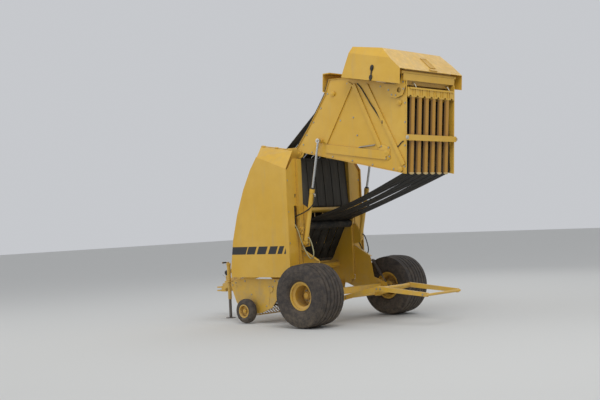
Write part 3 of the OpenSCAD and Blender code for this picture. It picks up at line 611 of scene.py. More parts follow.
def hexHead(radius):
    deselectAll()
    bpy.ops.mesh.primitive_cylinder_add(vertices=6, radius=radius, depth=radius * 0.75,
                                        location=(0, 0, radius * 0.5))
    head = bpy.context.object
    edit(head)
    chooseFaces(head, lambda face: face.normal.z > 0.9)
    bpy.ops.mesh.inset(thickness=radius * 0.12, depth=radius * 0.09)
    bpy.ops.object.mode_set(mode="OBJECT")
    settle(head)
    bpy.ops.mesh.primitive_cylinder_add(vertices=14, radius=radius * 1.35, depth=radius * 0.2,
                                        location=(0, 0, radius * 0.1))
    washer = bpy.context.object
    settle(washer)
    return joinAll([head, washer])


def boltSet(name, places, radius, body):  # places: (point, direction that the head faces)
    head = hexHead(radius)
    copies = []
    for i, (point, facing) in enumerate(places):
        turn = Vector(facing).to_track_quat("Z", "X").to_matrix().to_4x4()
        turn = turn @ Matrix.Rotation(i * 0.7, 4, "Z")
        copies.append(copyAt(head, Matrix.Translation(point) @ turn))
    remove(head)
    dress(joinAll(copies), name, boltSteel, body, 30)


# Tailgate: sheet pieces are drawn flat and given their thickness


def flatPiece(points, thick, edge=0.0015):  # outline in metres in the XZ plane, its thickness towards +Y
    deselectAll()
    bpy.ops.mesh.primitive_circle_add(vertices=len(points), radius=1, fill_type="NGON", location=(0, 0, 0))
    plate = bpy.context.object
    for vertex, (x, z) in zip(plate.data.vertices, points):
        vertex.co = (x, 0, z)
    edit(plate)
    bpy.ops.mesh.select_all(action="SELECT")
    bpy.ops.mesh.extrude_region_move(TRANSFORM_OT_translate={"value": (0, thick, 0)})
    bpy.ops.mesh.select_all(action="SELECT")
    bpy.ops.mesh.normals_make_consistent(inside=False)
    if edge:
        bpy.ops.mesh.bevel(offset=edge, segments=2, affect="EDGES")
    bpy.ops.object.mode_set(mode="OBJECT")
    return plate


def onBothSides(piece, name, look, bodies, smooth=35):  # the piece lies on the left, y above 0
    mirrored = copyAt(piece, Matrix.Scale(-1, 4, (0, 1, 0)))
    edit(mirrored)
    bpy.ops.mesh.select_all(action="SELECT")
    bpy.ops.mesh.flip_normals()
    bpy.ops.object.mode_set(mode="OBJECT")
    dress(piece, "left" + name, look, bodies[0], smooth)
    dress(mirrored, "right" + name, look, bodies[1], smooth)


def gateTurn():  # lays a piece drawn on the shut tailgate onto the open one
    hinge = spot(*pivot)
    return Matrix.Translation(hinge) @ Matrix.Rotation(gateOpen, 4, "Y") @ Matrix.Translation(-hinge)


def gateSheet(points, y, thick, edge=0.0015):  # points back and up from the pivot
    flat = [((pivot.x - back - midX) / 1000, (pivot.z + up) / 1000) for back, up in points]
    plate = flatPiece(flat, thick / 1000, edge)
    plate.data.transform(gateTurn() @ Matrix.Translation((0, y / 1000, 0)))
    return plate


gateWork = {  # millimetres from the middle, and places back and up from the pivot
    "skin": 615, "rib": 635, "bracket": 641.3, "slats": 6, "slatPitch": 180, "slatWidth": 124, "bolt": 0.0105,
    "rollerPlate": ((330, -1560), (372, -1600), (368, -1700), (330, -1790), (240, -1800), (196, -1822),
                    (150, -1770), (166, -1660), (222, -1600)),
    "skinBolts": ((45, -260), (45, -700), (45, -1100), (45, -1500), (45, -1900), (110, -2095), (420, -2048),
                  (760, -1993), (1040, -1947), (1240, -1765), (1225, -1450), (1218, -1180), (1200, -800),
                  (1000, -430), (760, -330), (520, -215), (300, -105), (140, -60), (620, -760), (440, -1130),
                  (700, -1010)),
    "bracketBolts": ((1190, -1630), (1130, -1700), (1130, -1775), (1240, -1900), (1340, -1880), (1440, -1858)),
    "plateBolts": ((345, -1620), (345, -1760), (215, -1800), (175, -1740), (235, -1620)),
}


def buildTailgateTrim():
    skin = gateWork["skin"]
    plate = gateSheet(gateWork["rollerPlate"], skin, 9)
    onBothSides(plate, "RollerPlate", finishes["paint"], ("tailgate", "tailgate"))
    sets = (("skinBolts", skin), ("bracketBolts", gateWork["bracket"]), ("plateBolts", skin + 9))
    points = [onGate(back, y, up) for key, y in sets for back, up in gateWork[key]]
    for name, side in namedSides:
        places = [(Vector((p.x, p.y * side, p.z)), (0, side, 0)) for p in points]
        boltSet(name + "GateBolts", places, gateWork["bolt"], "tailgate")
    print("tailgate trim built")


# back and up from the pivot, share of the height
gateBearings = ((60, -2030, 0.4), (1030, -1850, 1), (1015, -546, 1), (267, -1734, 0.4))


def buildRollerEnds():  # flanged bearings and shaft ends
    lathed = lathe([(0.0005, 0.012), (0.016, 0.012), (0.018, 0.010), (0.018, 0.007), (0.026, 0.006),
                    (0.030, 0.004), (0.037, 0.0035), (0.038, 0.002), (0.038, 0)], 40)
    pieces = []
    for back, up, reach in gateBearings:
        for side in bothSides:
            place = onGate(back, gateWork["rib"] * side, up)
            turn = Matrix.Translation(place) @ alongY(side) @ Matrix.Diagonal((1, 1, reach, 1))
            pieces.append(copyAt(lathed, turn))
    remove(lathed)
    dress(joinAll(pieces), "gateBearings", finishes["paint"], "tailgate", 30)
    print("roller ends built")


def buildSlatEnds():  # the slats' rounded lower tips, worn pale
    half = gateWork["slatWidth"] / 2000
    tips = []
    for i in range(gateWork["slats"]):
        deselectAll()
        bpy.ops.mesh.primitive_uv_sphere_add(segments=24, ring_count=12, radius=1, location=(0, 0, 0))
        tip = bpy.context.object
        edit(tip)
        chooseFaces(tip, lambda face: face.calc_center_median().x < -0.05)
        bpy.ops.mesh.delete(type="FACE")
        bpy.ops.mesh.select_all(action="DESELECT")
        bpy.ops.mesh.select_mode(type="EDGE")
        bpy.ops.mesh.select_non_manifold()
        bpy.ops.mesh.edge_face_add()
        bpy.ops.object.mode_set(mode="OBJECT")
        tip.scale = (0.030, half, 0.016)
        tip.rotation_euler = (0, radians(8.2), 0)
        place = i - (gateWork["slats"] - 1) / 2
        tip.location = spot(pivot.x - 26, place * gateWork["slatPitch"], pivot.z - 2116)
        settle(tip)
        tip.data.transform(gateTurn())
        tips.append(tip)
    dress(joinAll(tips), "slatTips", slatGold, "tailgate", 40)
    print("slat ends built")


def curvePiece(points, radius, resolution=6, sides=3):  # a smooth round bar or hose
    data = bpy.data.curves.new("run", "CURVE")
    data.dimensions = "3D"
    data.bevel_depth = radius
    data.bevel_resolution = sides
    data.use_fill_caps = True
    data.resolution_u = resolution
    spline = data.splines.new("NURBS")
    spline.points.add(len(points) - 1)
    for point, place in zip(spline.points, points):
        point.co = (*place, 1)
    spline.use_endpoint_u = True
    spline.order_u = 3
    run = bpy.data.objects.new("run", data)
    bpy.context.collection.objects.link(run)
    pick(run)
    bpy.ops.object.convert(target="MESH")
    return bpy.context.object


def coil(first, last, radius, wire, turns):  # a helical spring between two points
    axis = (last - first).normalized()
    side = axis.orthogonal().normalized()
    across = axis.cross(side)
    count = int(turns * 12)
    points = []
    for i in range(count + 1):
        angle = 2 * pi * turns * i / count
        points.append(first.lerp(last, i / count) + (side * cos(angle) + across * sin(angle)) * radius)
    return curvePiece(points, wire, resolution=1, sides=1)


ramp = {  # coil: how far down the rod the spring reaches
    "y": 733.75, "top": (180, 930), "low": (-125, 500), "coil": 0.6,
    "springRadius": 0.0225, "wire": 0.0055, "turns": 15, "rod": 0.009,
}


def buildRampSprings():
    top, low = (Vector(ramp[key]) for key in ("top", "low"))
    middle = top.lerp(low, ramp["coil"])
    pieces = []
    for side in bothSides:
        y = ramp["y"] * side
        start, end, foot = (spot(point.x, y, point.y) for point in (top, middle, low))
        pieces.append(coil(start, end, ramp["springRadius"], ramp["wire"], ramp["turns"]))
        pieces.append(curvePiece([start, start.lerp(end, 0.5), end, foot], ramp["rod"], resolution=2))
        eye = lathe([(0.010, -0.016), (0.020, -0.016), (0.022, -0.014), (0.022, 0.014), (0.020, 0.016),
                     (0.010, 0.016), (0.010, -0.016)], 20)
        pin = lathe([(0.0005, -0.062), (0.0135, -0.062), (0.0135, 0.03), (0.017, 0.03), (0.017, 0.036),
                     (0.0005, 0.036)], 20)
        pieces += copiesAcross(eye, (start, foot)) + copiesAcross(pin, (start, foot), side)
    dress(joinAll(pieces), "rampSprings", finishes["spring_steel"], "frame", 40,
          ("ramp_springs",))
    print("ramp springs built")


def hoseBetween(name, points, radius, look):  # from a point on one body to a point on another
    hose = curvePiece([spot(*point) for point in points], radius)
    dress(hose, name, look, None, 40)
    tuple(spot(*points[0]))
    tuple(spot(*points[-1]))
    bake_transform(hose)


liftCylinder = {  # millimetres; the hoses run on the left side
    "y": 692, "foot": (390, 0, 1300), "pin": (248, 0, 2316), "gland": 861, "port": 0.012, "hose": 0.0095,
    "upperHose": ((160, 694, 2015), (140, 706, 1950), (175, 734, 1880), (270, 744, 1810), (400, 744, 1760),
                  (520, 742, 1730), (600, 742, 1700)),
    "lowerHose": ((311, 692, 1362), (285, 692, 1330), (250, 694, 1230), (224, 696, 1120), (250, 700, 1045),
                  (310, 702, 1040), (385, 706, 1150), (450, 712, 1270), (530, 735, 1560), (620, 740, 1650)),
    "valve": ((434, 1425), (446, 1422), (498, 1422), (498, 1555), (434, 1555)),
    "plugs": ((452, 1448), (480, 1478), (452, 1508), (480, 1536)),
}


def valveBlock():  # on the left side
    body = flatPiece([((x - midX) / 1000, z / 1000) for x, z in liftCylinder["valve"]], 0.046, 0.004)
    plug = lathe([(0.0005, 0.016), (0.013, 0.016), (0.015, 0.013), (0.015, 0.004), (0.018, 0.003),
                  (0.018, -0.004), (0.0005, -0.004)], 20)
    plugs = copiesAcross(plug, [spot(x, 696.5, z) for x, z in liftCylinder["plugs"]])
    body.data.transform(Matrix.Translation((0, 0.6505, 0)))
    return joinAll([body] + plugs)


def buildCylinderTrim():  # glands, pins, ports, hoses and valve blocks of the lift cylinders
    foot = Vector(liftCylinder["foot"])
    rodPin = swung(liftCylinder["pin"])
    axis = (rodPin - foot).normalized()
    for name, side in namedSides:
        y = liftCylinder["y"] * side
        barrel = name + "_barrel"

        def along(distance, out=0):  # up the cylinder's middle line, and out of it rearwards
            point = foot + axis * distance + Vector((-axis.z, 0, axis.x)) * out
            return spot(point.x, y, point.z)
        ports = [curvePiece([along(*step) for step in steps], liftCylinder["port"]) for steps in (
            ((790, 30), (790, 58), (786, 70), (770, 74), (750, 74)), ((86, 30), (88, 50), (80, 62)))]
        dress(joinAll(ports), name + "CylinderPorts", boltSteel, barrel, 40)
        for end, look in (("upper", blackRubber), ("lower", paleHose if side > 0 else blackRubber)):
            path = [(x, out * side, z) for x, out, z in liftCylinder[end + "Hose"]]
            hoseBetween(name + end.capitalize() + "Hose", path, liftCylinder["hose"], look)
        gland = lathe([(0.0195, 0), (0.030, 0), (0.033, 0.004), (0.033, 0.02), (0.030, 0.024), (0.0195, 0.024),
                       (0.0195, 0)], 32)
        turn = axis.to_track_quat("Z", "Y").to_matrix().to_4x4()
        gland.data.transform(Matrix.Translation(along(liftCylinder["gland"])) @ turn)
        dress(gland, name + "Gland", finishes["iron"], barrel, 30)
        pin = lathedAcross([(0.0005, 0.030), (0.015, 0.030), (0.017, 0.028), (0.017, 0.024), (0.024, 0.023),
                            (0.024, 0.0205), (0.0005, 0.0205)], 32, spot(rodPin.x, y, rodPin.z), side)
        dress(pin, name + "RodPin", boltSteel, name + "_rod", 30)
        valve = valveBlock()
        if side < 0:
            valve.data.transform(Matrix.Scale(-1, 4, (0, 1, 0)))
            valve.data.flip_normals()
        dress(valve, name + "ValveBlock", finishes["paint"], "frame", 30)
    print("cylinder trim built")


# Net box

netBox = {  # side and handleY in millimetres from the middle, places back and up from the pivot
    "side": 815, "latch": (1413, -1404), "ridge": (1799, -1490), "edge": (1537, -1915), "handleY": -118,
    "lobes": ((62, 96, 72), (56, 84, -70)),  # width, height, place along the strap
}


def buildNetBoxTrim():
    back, up = netBox["latch"]
    pieces = []
    for width, height, offset in netBox["lobes"]:
        lobe = lathe([(0.0005, 0.020), (0.55, 0.020), (0.85, 0.017), (0.97, 0.010), (1.0, 0.003), (1.0, 0)], 28)
        lobe.data.transform(Matrix.Diagonal((width / 2000, height / 2000, 1, 1)))
        place = spot(pivot.x - back - offset, netBox["side"], pivot.z + up)
        lobe.data.transform(Matrix.Translation(place) @ alongY() @ Matrix.Rotation(pi / 2, 4, "Z"))
        pieces.append(lobe)
    strap = flatPiece([((pivot.x - back - midX + x) / 1000, (pivot.z + up + z) / 1000) for x, z in (
        (-110, -11), (118, -11), (118, 11), (-110, 11))], 0.010, 0.003)
    strap.data.transform(Matrix.Translation((0, netBox["side"] / 1000, 0)))
    latch = joinAll(pieces + [strap])
    latch.data.transform(gateTurn())
    onBothSides(latch, "CoverLatch", blackRubber, ("net_cover", "net_cover"))
    # pull handle on the rear facet: a dished plate with a lip at the cover's lower edge
    ridge, edge = (onGate(netBox[key][0], netBox["handleY"], netBox[key][1]) for key in ("ridge", "edge"))
    down = (edge - ridge).normalized()
    across = Vector((0, -1, 0))
    facet = Matrix((down, across, down.cross(across))).transposed().to_4x4()
    facet.translation = ridge
    plate = block((0.25, 0.155, 0.012), (0.285, 0, 0.004))
    edit(plate)
    chooseFaces(plate, lambda face: face.normal.z > 0.9)
    bpy.ops.mesh.inset(thickness=0.010, depth=0)
    bpy.ops.mesh.inset(thickness=0.008, depth=-0.008)
    bpy.ops.object.mode_set(mode="OBJECT")
    handle = joinAll([plate, block((0.030, 0.19, 0.014), (0.470, -0.058, 0.006))])
    edit(handle)
    bpy.ops.mesh.select_all(action="SELECT")
    bpy.ops.mesh.bevel(offset=0.0015, segments=2, affect="EDGES")
    bpy.ops.object.mode_set(mode="OBJECT")
    handle.data.transform(facet)
    # painted shade: a darker orange than the body paint, for the shade inside the recessed pocket that this
    # plate stands for
    shadedHandlePaint = wornSteel("shadedHandlePaint", (0.62, 0.36, 0.06), 0.45, 0.0, 0.25)
    dress(handle, "coverHandle", shadedHandlePaint, "net_cover")
    print("net box trim built")


# Wheels: nuts, hub caps and valves

wheelNuts = {"count": 8, "circle": 0.092, "radius": 0.0165}


def buildWheelFittings():
    for name, side in namedSides:
        middle = Vector(joints[name + "_wheel_spin"]["pos_m"])
        places = []
        for k in range(wheelNuts["count"]):
            angle = 2 * pi * k / wheelNuts["count"]
            out = Vector((cos(angle) * wheelNuts["circle"], 0.0005 * side, sin(angle) * wheelNuts["circle"]))
            places.append((middle + out, (0, side, 0)))
        boltSet(name + "WheelNuts", places, wheelNuts["radius"], name + "_wheel")
        cap = lathedAcross([(0.0005, 0.1), (0.030, 0.1), (0.038, 0.096), (0.044, 0.088), (0.046, 0.076),
                            (0.061, 0.070), (0.0625, 0.066), (0.0625, 0.050), (0.0605, 0.050), (0.0605, 0)],
                           48, middle, side)
        dress(cap, name + "HubCap", finishes["paint"], name + "_wheel", 30)
        stem = [middle + Vector((x, y * side, 0)) for x, y in ((0.165, 0.10), (0.17, 0.13), (0.172, 0.16))]
        dress(curvePiece(stem, 0.005), name + "TyreValve", boltSteel, name + "_wheel", 40)
    print("wheel fittings built")


gaugeTyre = {"steps": 72, "radius": 0.200, "rim": 0.102, "half": 0.070}


def buildGaugeTyres():
    g = gaugeTyre
    r, h, rim = g["radius"], g["half"], g["rim"]
    side = [(rim, 0.058), (rim + 0.008, h - 0.008), (rim + 0.022, h - 0.001), (rim + 0.03, h - 0.001),
            (rim + 0.034, h + 0.0005), (rim + 0.040, h - 0.002), (r - 0.035, h - 0.004), (r - 0.014, h - 0.018),
            (r - 0.008, h - 0.026)]
    tread = [(r - 0.002, 0.026), (r - 0.008, 0.022), (r - 0.008, 0.018), (r - 0.001, 0.014), (r, 0.004),
             (r - 0.007, 0.002)]
    mirrored = [(radius, -along) for radius, along in reversed(side + tread)]
    tyre = lathe(side + tread + mirrored + [(rim, 0.058)], g["steps"])
    for name, side in namedSides:
        middle = Vector(joints[name + "_gauge_spin"]["pos_m"])
        piece = copyAt(tyre, Matrix.Translation(middle) @ alongY(side))
        dress(piece, name + "GaugeTyre", finishes["tyre_rubber"], name + "_gauge_wheel", 35,
              ("gauge_tyres_" + name,))
    remove(tyre)
    print("gauge tyres built")


# Pickup reel: bars on three discs, with curved double tines

reel = {"at": (1510, 345), "bar": 110, "reach": 212, "rows": 4, "pairs": 12, "half": 853, "turned": 20}


def doubleTine(gap, reach):  # its bar lies along Y, the tines point along X
    half = [(reach, -gap, -0.010), (reach * 0.75, -gap, 0.003), (reach * 0.35, -gap, 0.014)]
    for k in range(9):
        angle = pi / 2 + k * pi * 0.35
        half.append((0.0165 * cos(angle), -gap + 0.024 * k / 8, 0.0165 * sin(angle)))
    return curvePiece(half + [(x, -y, z) for x, y, z in reversed(half)], 0.0032, resolution=1, sides=0)


def buildReel():
    r = reel
    middle = spot(r["at"][0], 0, r["at"][1])
    pitch = (2 * r["half"] - 90) / (2 * r["pairs"]) / 1000  # between tines, 45 mm free at each end
    end = r["half"] / 1000
    tine = doubleTine(pitch / 2, (r["reach"] - r["bar"]) / 1000)
    tip = end - 0.024
    bar = lathe([(0.0005, -tip), (0.013, -tip), (0.013, tip), (0.0005, tip)], 16)
    pieces = []
    for k in range(r["rows"]):
        turn = Matrix.Rotation(-radians(r["turned"] + k * 360 / r["rows"]), 4, "Y")
        turn = Matrix.Translation(middle) @ turn @ Matrix.Translation((r["bar"] / 1000, 0, 0))
        pieces.append(copyAt(bar, turn @ alongY()))
        for i in range(r["pairs"]):
            place = (i - (r["pairs"] - 1) / 2) * 2 * pitch
            pieces.append(copyAt(tine, turn @ Matrix.Translation((0, place, 0))))
    disc = lathe([(0.020, -0.004), (0.036, -0.014), (0.040, -0.014), (0.042, -0.004), (0.128, -0.004),
                  (0.132, -0.008), (0.132, 0.004), (0.020, 0.004), (0.020, -0.004)], 48)
    shaft = lathe([(0.0005, -end - 0.008), (0.018, -end - 0.008), (0.020, -end - 0.006), (0.020, end + 0.006),
                   (0.018, end + 0.008), (0.0005, end + 0.008)], 24)
    pieces += copiesAcross(disc, [middle + Vector((0, y, 0)) for y in (-end + 0.026, 0, end - 0.036)])
    pieces += copiesAcross(shaft, [middle])
    remove(tine)
    remove(bar)
    dress(joinAll(pieces), "tinedReel", finishes["spring_steel"], "pickup_reel", 40,
          ("pickup_reel",))
    print("pickup reel built")


# Chain drive: sprockets with teeth, chains of plates and rollers

chains = {  # toothLift: from a sprocket's rim to the chain's middle line
    "pitch": 0.0254, "toothLift": 0.0055, "arcSteps": 60,
    "shafts": {"cross": (1610, 1145), "drive": (1010, 1050), "top": (1090, 2526)},
    "loops": (("cross", 62, "drive", 110, 790), ("drive", 98, "top", 78, 820)),  # shafts, radii, y
    "shaftSpans": (("cross", 0.020, 150.3, 815), ("drive", 0.024, 603, 845), ("top", 0.024, 603, 845)),
}


def sprocket(radius):  # in the XZ plane, its middle at the origin
    teeth = round(2 * pi * (radius + chains["toothLift"]) / chains["pitch"])
    outline = []
    for i in range(teeth):
        for share, out in ((-0.30, -0.001), (-0.10, 0.0095), (0.10, 0.0095), (0.30, -0.001)):
            angle = 2 * pi * (i + share) / teeth
            outline.append(((radius + out) * cos(angle), (radius + out) * sin(angle)))
    plate = flatPiece(outline, 0.008, 0.0004)
    plate.data.transform(Matrix.Translation((0, -0.004, 0)))
    hub = lathedAcross([(0.0005, -0.012), (0.038, -0.012), (0.040, -0.010), (0.040, 0.012), (0.036, 0.016),
                        (0.0005, 0.016)], 32, (0, 0, 0))
    return joinAll([plate, hub])


def chainLink(length, wide):
    half = length / 2
    outline = [(-half - 0.008, -0.004), (-half - 0.004, -0.008), (half + 0.004, -0.008), (half + 0.008, -0.004),
               (half + 0.008, 0.004), (half + 0.004, 0.008), (-half - 0.004, 0.008), (-half - 0.008, 0.004)]
    pieces = []
    for side in bothSides:
        plate = flatPiece(outline, 0.0022, 0)
        plate.data.transform(Matrix.Translation((0, side * wide, 0)))
        pieces.append(plate)
    bpy.ops.mesh.primitive_cylinder_add(vertices=8, radius=0.0062, depth=2 * wide, location=(half, 0, 0),
                                        rotation=(pi / 2, 0, 0))
    settle(bpy.context.object)
    pieces.append(bpy.context.object)
    return joinAll(pieces)


def buildChains():
    pieces = []
    for first, radius0, second, radius1, y in chains["loops"]:
        ends = [spot(x, y, z) for x, z in (chains["shafts"][first], chains["shafts"][second])]
        radii = [radius0 / 1000, radius1 / 1000]
        for end, radius in zip(ends, radii):
            wheel = sprocket(radius)
            wheel.data.transform(Matrix.Translation(end))
            pieces.append(wheel)
        line = ends[1] - ends[0]
        heading = atan2(line.z, line.x)
        tangent = pi / 2 - asin((radii[0] - radii[1]) / line.length)
        sweeps = ((ends[0], radii[0], heading + tangent, 2 * (pi - tangent)),
                  (ends[1], radii[1], heading - tangent, 2 * tangent))
        track = []
        for centre, radius, start, sweep in sweeps:
            for k in range(chains["arcSteps"] + 1):
                angle = start + sweep * k / chains["arcSteps"]
                out = radius + chains["toothLift"]
                track.append(centre + Vector((cos(angle), 0, sin(angle))) * out)
        track.append(track[0])
        lengths = [0]
        for a, b in zip(track, track[1:]):
            lengths.append(lengths[-1] + (b - a).length)
        count = 2 * round(lengths[-1] / chains["pitch"] / 2)
        pins = []
        for i in range(count + 1):
            at = lengths[-1] * i / count
            k = max(j for j in range(len(track) - 1) if lengths[j] <= at + 1e-9)
            pins.append(track[k].lerp(track[k + 1], (at - lengths[k]) / (lengths[k + 1] - lengths[k])))
        links = [chainLink(lengths[-1] / count, wide) for wide in (0.0072, 0.0098)]
        for i in range(count):
            step = pins[i + 1] - pins[i]
            turn = Matrix.Rotation(-atan2(step.z, step.x), 4, "Y")
            pieces.append(copyAt(links[i % 2], Matrix.Translation(pins[i].lerp(pins[i + 1], 0.5)) @ turn))
        for link in links:
            remove(link)
    for key, radius, start, end in chains["shaftSpans"]:
        low, high = start / 1000, end / 1000
        x, z = chains["shafts"][key]
        profile = [(0.0005, low), (radius, low), (radius, high - 0.004), (radius - 0.004, high), (0.0005, high)]
        pieces.append(lathedAcross(profile, 24, spot(x, 0, z)))
    chainSteel = wornSteel("chainSteel", (0.16, 0.14, 0.12), 0.4, 0.85, 0.3)
    dress(joinAll(pieces), "rollerChains", chainSteel, "frame", 30, ("chain_drive",))
    print("chain drive built")


# Driveline: two telescopic guards with bells

shaftGuard = {"from": (1845.5, 0, 1145), "to": (2980, 0, 760)}


def buildDriveline():
    first, last = (spot(*shaftGuard[key]) for key in ("from", "to"))
    length = (last - first).length
    bell = [(0.024, 0.006), (0.030, 0.010), (0.044, 0.012), (0.048, 0.018), (0.048, 0.040), (0.044, 0.046),
            (0.046, 0.052), (0.044, 0.058), (0.041, 0.062), (0.043, 0.068), (0.040, 0.076), (0.038, 0.080),
            (0.040, 0.088), (0.037, 0.100), (0.036, 0.118)]
    far = [(min(radius, 0.046), length - along) for radius, along in reversed(bell)]
    collar = [(0.036, 0.60), (0.038, 0.604), (0.038, 0.634), (0.036, 0.638), (0.031, 0.640), (0.030, 0.644)]
    profile = ([(0.0005, 0), (0.022, 0)] + bell + collar + [(0.030, length - 0.124)] + far
               + [(0.022, length), (0.0005, length)])
    guard = lathe(profile, 40)
    turn = (last - first).to_track_quat("Z", "Y").to_matrix().to_4x4()
    guard.data.transform(Matrix.Translation(first) @ turn)
    dress(guard, "shaftGuard", finishes["guard"], "frame", 30, ("driveline",))
    links = []
    for start, way in ((first.lerp(last, 0.12), -1), (first.lerp(last, 0.88), 1)):
        hang = [start + Vector((0, 0, -0.046)), start + Vector((0.03 * way, 0.03, -0.10)),
                start + Vector((0.10 * way, 0.05, -0.13)), start + Vector((0.17 * way, 0.06, -0.06))]
        links.append(curvePiece(hang, 0.003, resolution=5, sides=1))
    dress(joinAll(links), "guardChains", boltSteel, "frame", 40)
    print("driveline built")


# Small fittings

gateRuns = {  # back and up from the pivot, in millimetres
    "hose": ((1222, -1000), (1190, -1062), (1080, -1178), (944, -1313), (820, -1455), (705, -1585),
             (629, -1693)),
    "cable": ((366, -1851), (372, -1900), (394, -1940), (430, -1965), (462, -1985), (480, -2018)),
    "rod": ((262, -1200), (271, -1209), (300, -1322), (343, -1492), (352, -1500)),
    "seal": ((1231, -416), (1106, -394), (979, -371), (726, -256), (464, -136), (266, -31), (126, 48)),
    "hook": ((1338, -1852), (1334, -1880), (1318, -1898), (1290, -1925), (1262, -1940), (1254, -1925)),
}


def gateRun(key, y, radius):
    return curvePiece([onGate(back, y, up) for back, up in gateRuns[key]], radius)


def hoseFitting(place, bore, half):  # an upright sleeve round a hose
    sleeve = lathe([(bore, -half), (0.014, -half), (0.015, 0.004 - half), (0.015, half - 0.004),
                    (0.014, half), (bore, half), (bore, -half)], 12)
    sleeve.data.transform(Matrix.Translation(place))
    return sleeve


def buildGateRuns():  # hose, cable, rod and rubber edge on the tailgate's sides, and the tray's hooks
    skin = gateWork["skin"]
    for name, side in namedSides:
        hose = gateRun("hose", (skin + 9) * side, 0.008)
        fitting = hoseFitting(onGate(705, (skin + 9) * side, -1585), 0.008, 0.024)
        cable = gateRun("cable", (skin + 9) * side, 0.007)
        dress(joinAll([hose, cable, fitting]), name + "GateHoses", blackRubber, "tailgate", 40)
        rod = gateRun("rod", (skin + 12) * side, 0.009)
        dress(rod, name + "GateRod", boltSteel, "tailgate", 40)
        rubber = gateRun("seal", (skin + 10) * side, 0.007)
        dress(rubber, name + "GateSeal", blackRubber, "tailgate", 40)
    hooks = [gateRun("hook", y, 0.008) for y in (370, -500)]
    for side in bothSides:
        profile = [(0.0005, 0.030), (0.011, 0.030), (0.012, 0.028), (0.012, 0.016), (0.019, 0.015),
                   (0.019, 0.004), (0.030, 0.003), (0.030, 0), (0.0005, 0)]
        hooks.append(lathedAcross(profile, 20, onGate(547, 635 * side, -2089), side))
    dress(joinAll(hooks), "trayHooks", palePlating, "tailgate", 40)
    print("tailgate hoses built")


panelHoses = {  # millimetres; shape: share of the sway and height
    "runs": ((712, 578, 6), (730, 590, -8), (746, 580, 5)),  # y, x and sway of each hose
    "shape": ((2, 1380), (0, 1500), (-1, 1620), (1, 1740), (0, 1850), (3, 1960), (6, 2080)),
    "fittings": ((712, 1560), (730, 1640), (746, 1600), (712, 1820)),
}


def buildPanelHoses():  # in the slots of the rear panels
    for name, side in namedSides:
        runs = [curvePiece([spot(x + sway * k, y * side, z) for k, z in panelHoses["shape"]], 0.010)
                for y, x, sway in panelHoses["runs"]]
        runs += [hoseFitting(spot(582, y * side, z), 0.010, 0.022) for y, z in panelHoses["fittings"]]
        dress(joinAll(runs), name + "PanelHoses", blackRubber, "frame", 40)
    print("panel hoses built")


boltPlaces = {  # x and z in millimetres, on both sides; along the front rims y and z; on the gearbox y and z
    "frame": ((470, 1235), (375, 1262), (375, 1365), (470, 1515), (420, 1500), (480, 1160), (450, 1090),
              (470, 640), (640, 600), (-140, 540), (-140, 460), (330, 460), (200, 700), (160, 960)),
    "rim": ((670, 900), (670, 1300), (670, 2000), (670, 2400), (900, 860), (900, 1300), (900, 1800),
            (900, 2300)),
    "pickup": ((1165, 284), (1499, 469), (1430, 300), (1600, 310), (880, 690), (960, 690), (1640, 690),
               (1860, 660), (1940, 620), (1010, 600), (1090, 600)),
    "ramp": ((-150, 412), (-780, 548), (-850, 545), (-1640, 473)),
    "gearbox": ((-92, 1062), (92, 1062), (-92, 1226), (92, 1226), (0, 1056), (-92, 1145), (92, 1145)),
}


def buildBolts():
    for name, side in namedSides:
        def outside(key, y):
            return [(spot(x, y * side, z), (0, side, 0)) for x, z in boltPlaces[key]]
        rim = [(spot(545, y * side, z), (-1, 0, 0)) for y, z in boltPlaces["rim"]]
        boltSet(name + "FrameBolts", outside("frame", 650) + rim, 0.011, "frame")
        boltSet(name + "PickupBolts", outside("pickup", 853), 0.0105, "pickup")
        boltSet(name + "RampBolts", outside("ramp", 425), 0.011, "bale_ramp")
    gearBolts = [(spot(1720, y, z), (1, 0, 0)) for y, z in boltPlaces["gearbox"]]
    boltSet("gearboxBolts", gearBolts, 0.011, "frame")
    print("bolts built")


lacing = {  # millimetres; one height for each belt, on the front run between its two rollers
    "heights": (1420, 1780, 1560, 1890, 1660, 1500), "beltPitch": 198,
    "low": (1010, 1050), "high": (1090, 2526), "outLow": 95, "outHigh": 60, "lift": 12.6,
    "hooks": 13, "pitch": 13.2,
}


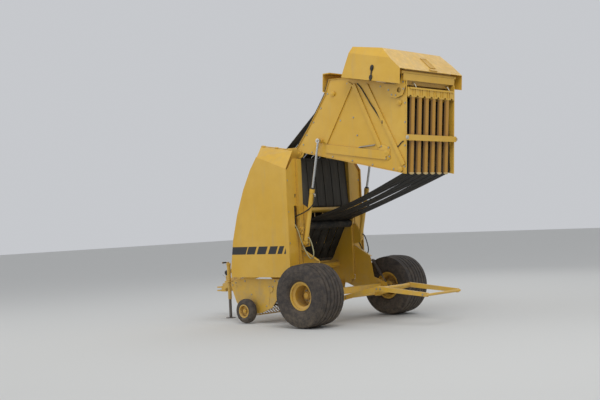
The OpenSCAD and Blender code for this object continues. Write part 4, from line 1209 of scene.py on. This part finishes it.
def buildLacing():  # the wire hooks that join the ends of each belt
    hooks = []
    (lowX, lowZ), (highX, highZ) = lacing["low"], lacing["high"]
    for i, height in enumerate(lacing["heights"]):
        y = (i - 2.5) * lacing["beltPitch"]
        share = (height - lowZ) / (highZ - lowZ)
        x = lowX + (highX - lowX) * share - lacing["outLow"] * (1 - share) - lacing["outHigh"] * share
        for k in range(lacing["hooks"]):
            across = y + (k - (lacing["hooks"] - 1) / 2) * lacing["pitch"]
            hooks.append(block((0.003, 0.0045, 0.026), spot(x - lacing["lift"], across, height)))
    laced = joinAll(hooks)
    edit(laced)
    bpy.ops.mesh.select_all(action="SELECT")
    bpy.ops.mesh.bevel(offset=0.0009, segments=1, affect="EDGES")
    dress(laced, "beltLacing", finishes["spring_steel"], "frame", 40)
    print("belt lacing built")


jack = {"grip": (2560, 435, 975), "cap": (2560, 330, 945)}


def buildJackTrim():
    grip = lathedAcross([(0.0085, -0.045), (0.012, -0.045), (0.014, -0.041), (0.012, -0.030), (0.014, -0.015),
                         (0.012, 0), (0.014, 0.015), (0.012, 0.030), (0.014, 0.041), (0.012, 0.045),
                         (0.0085, 0.045), (0.0085, -0.045)], 20, spot(*jack["grip"]))
    dress(grip, "jackGrip", blackRubber, "frame", 40)
    cap = lathe([(0.0325, -0.03), (0.037, -0.03), (0.039, -0.026), (0.039, 0.010), (0.036, 0.016),
                 (0.014, 0.018), (0.0105, 0.022), (0.0105, -0.02), (0.0325, -0.022), (0.0325, -0.03)], 32)
    cap.data.transform(Matrix.Translation(spot(*jack["cap"])))
    dress(cap, "jackCap", finishes["paint"], "frame", 35)
    print("jack trim built")


# Feet that close the walls' rear flanges against the gussets

flangeFoot = {"inner": 603.5, "outer": 641.5, "low": 626, "high": 699, "back": 505, "thick": 5, "corner": 14}


def buildFlangeFeet():
    inner, outer, low, high = [flangeFoot[key] / 1000 for key in ("inner", "outer", "low", "high")]
    corner = flangeFoot["corner"] / 1000
    outline = [(inner, low), (outer, low), (outer, high - corner), (outer - corner, high), (inner, high)]
    foot = flatPiece(outline, flangeFoot["thick"] / 1000)
    turn = Matrix.Rotation(radians(90), 4, "Z")
    foot.data.transform(Matrix.Translation(spot(flangeFoot["back"], 0, 0)) @ turn)
    onBothSides(foot, "FlangeFoot", finishes["paint"], ("frame", "frame"))
    print("flange feet built")


buildTailgateTrim()
buildRollerEnds()
buildSlatEnds()
buildRampSprings()
buildCylinderTrim()
buildNetBoxTrim()
buildWheelFittings()
buildGaugeTyres()
buildReel()
buildChains()
buildDriveline()
buildGateRuns()
buildPanelHoses()
buildBolts()
buildLacing()
buildJackTrim()
buildFlangeFeet()
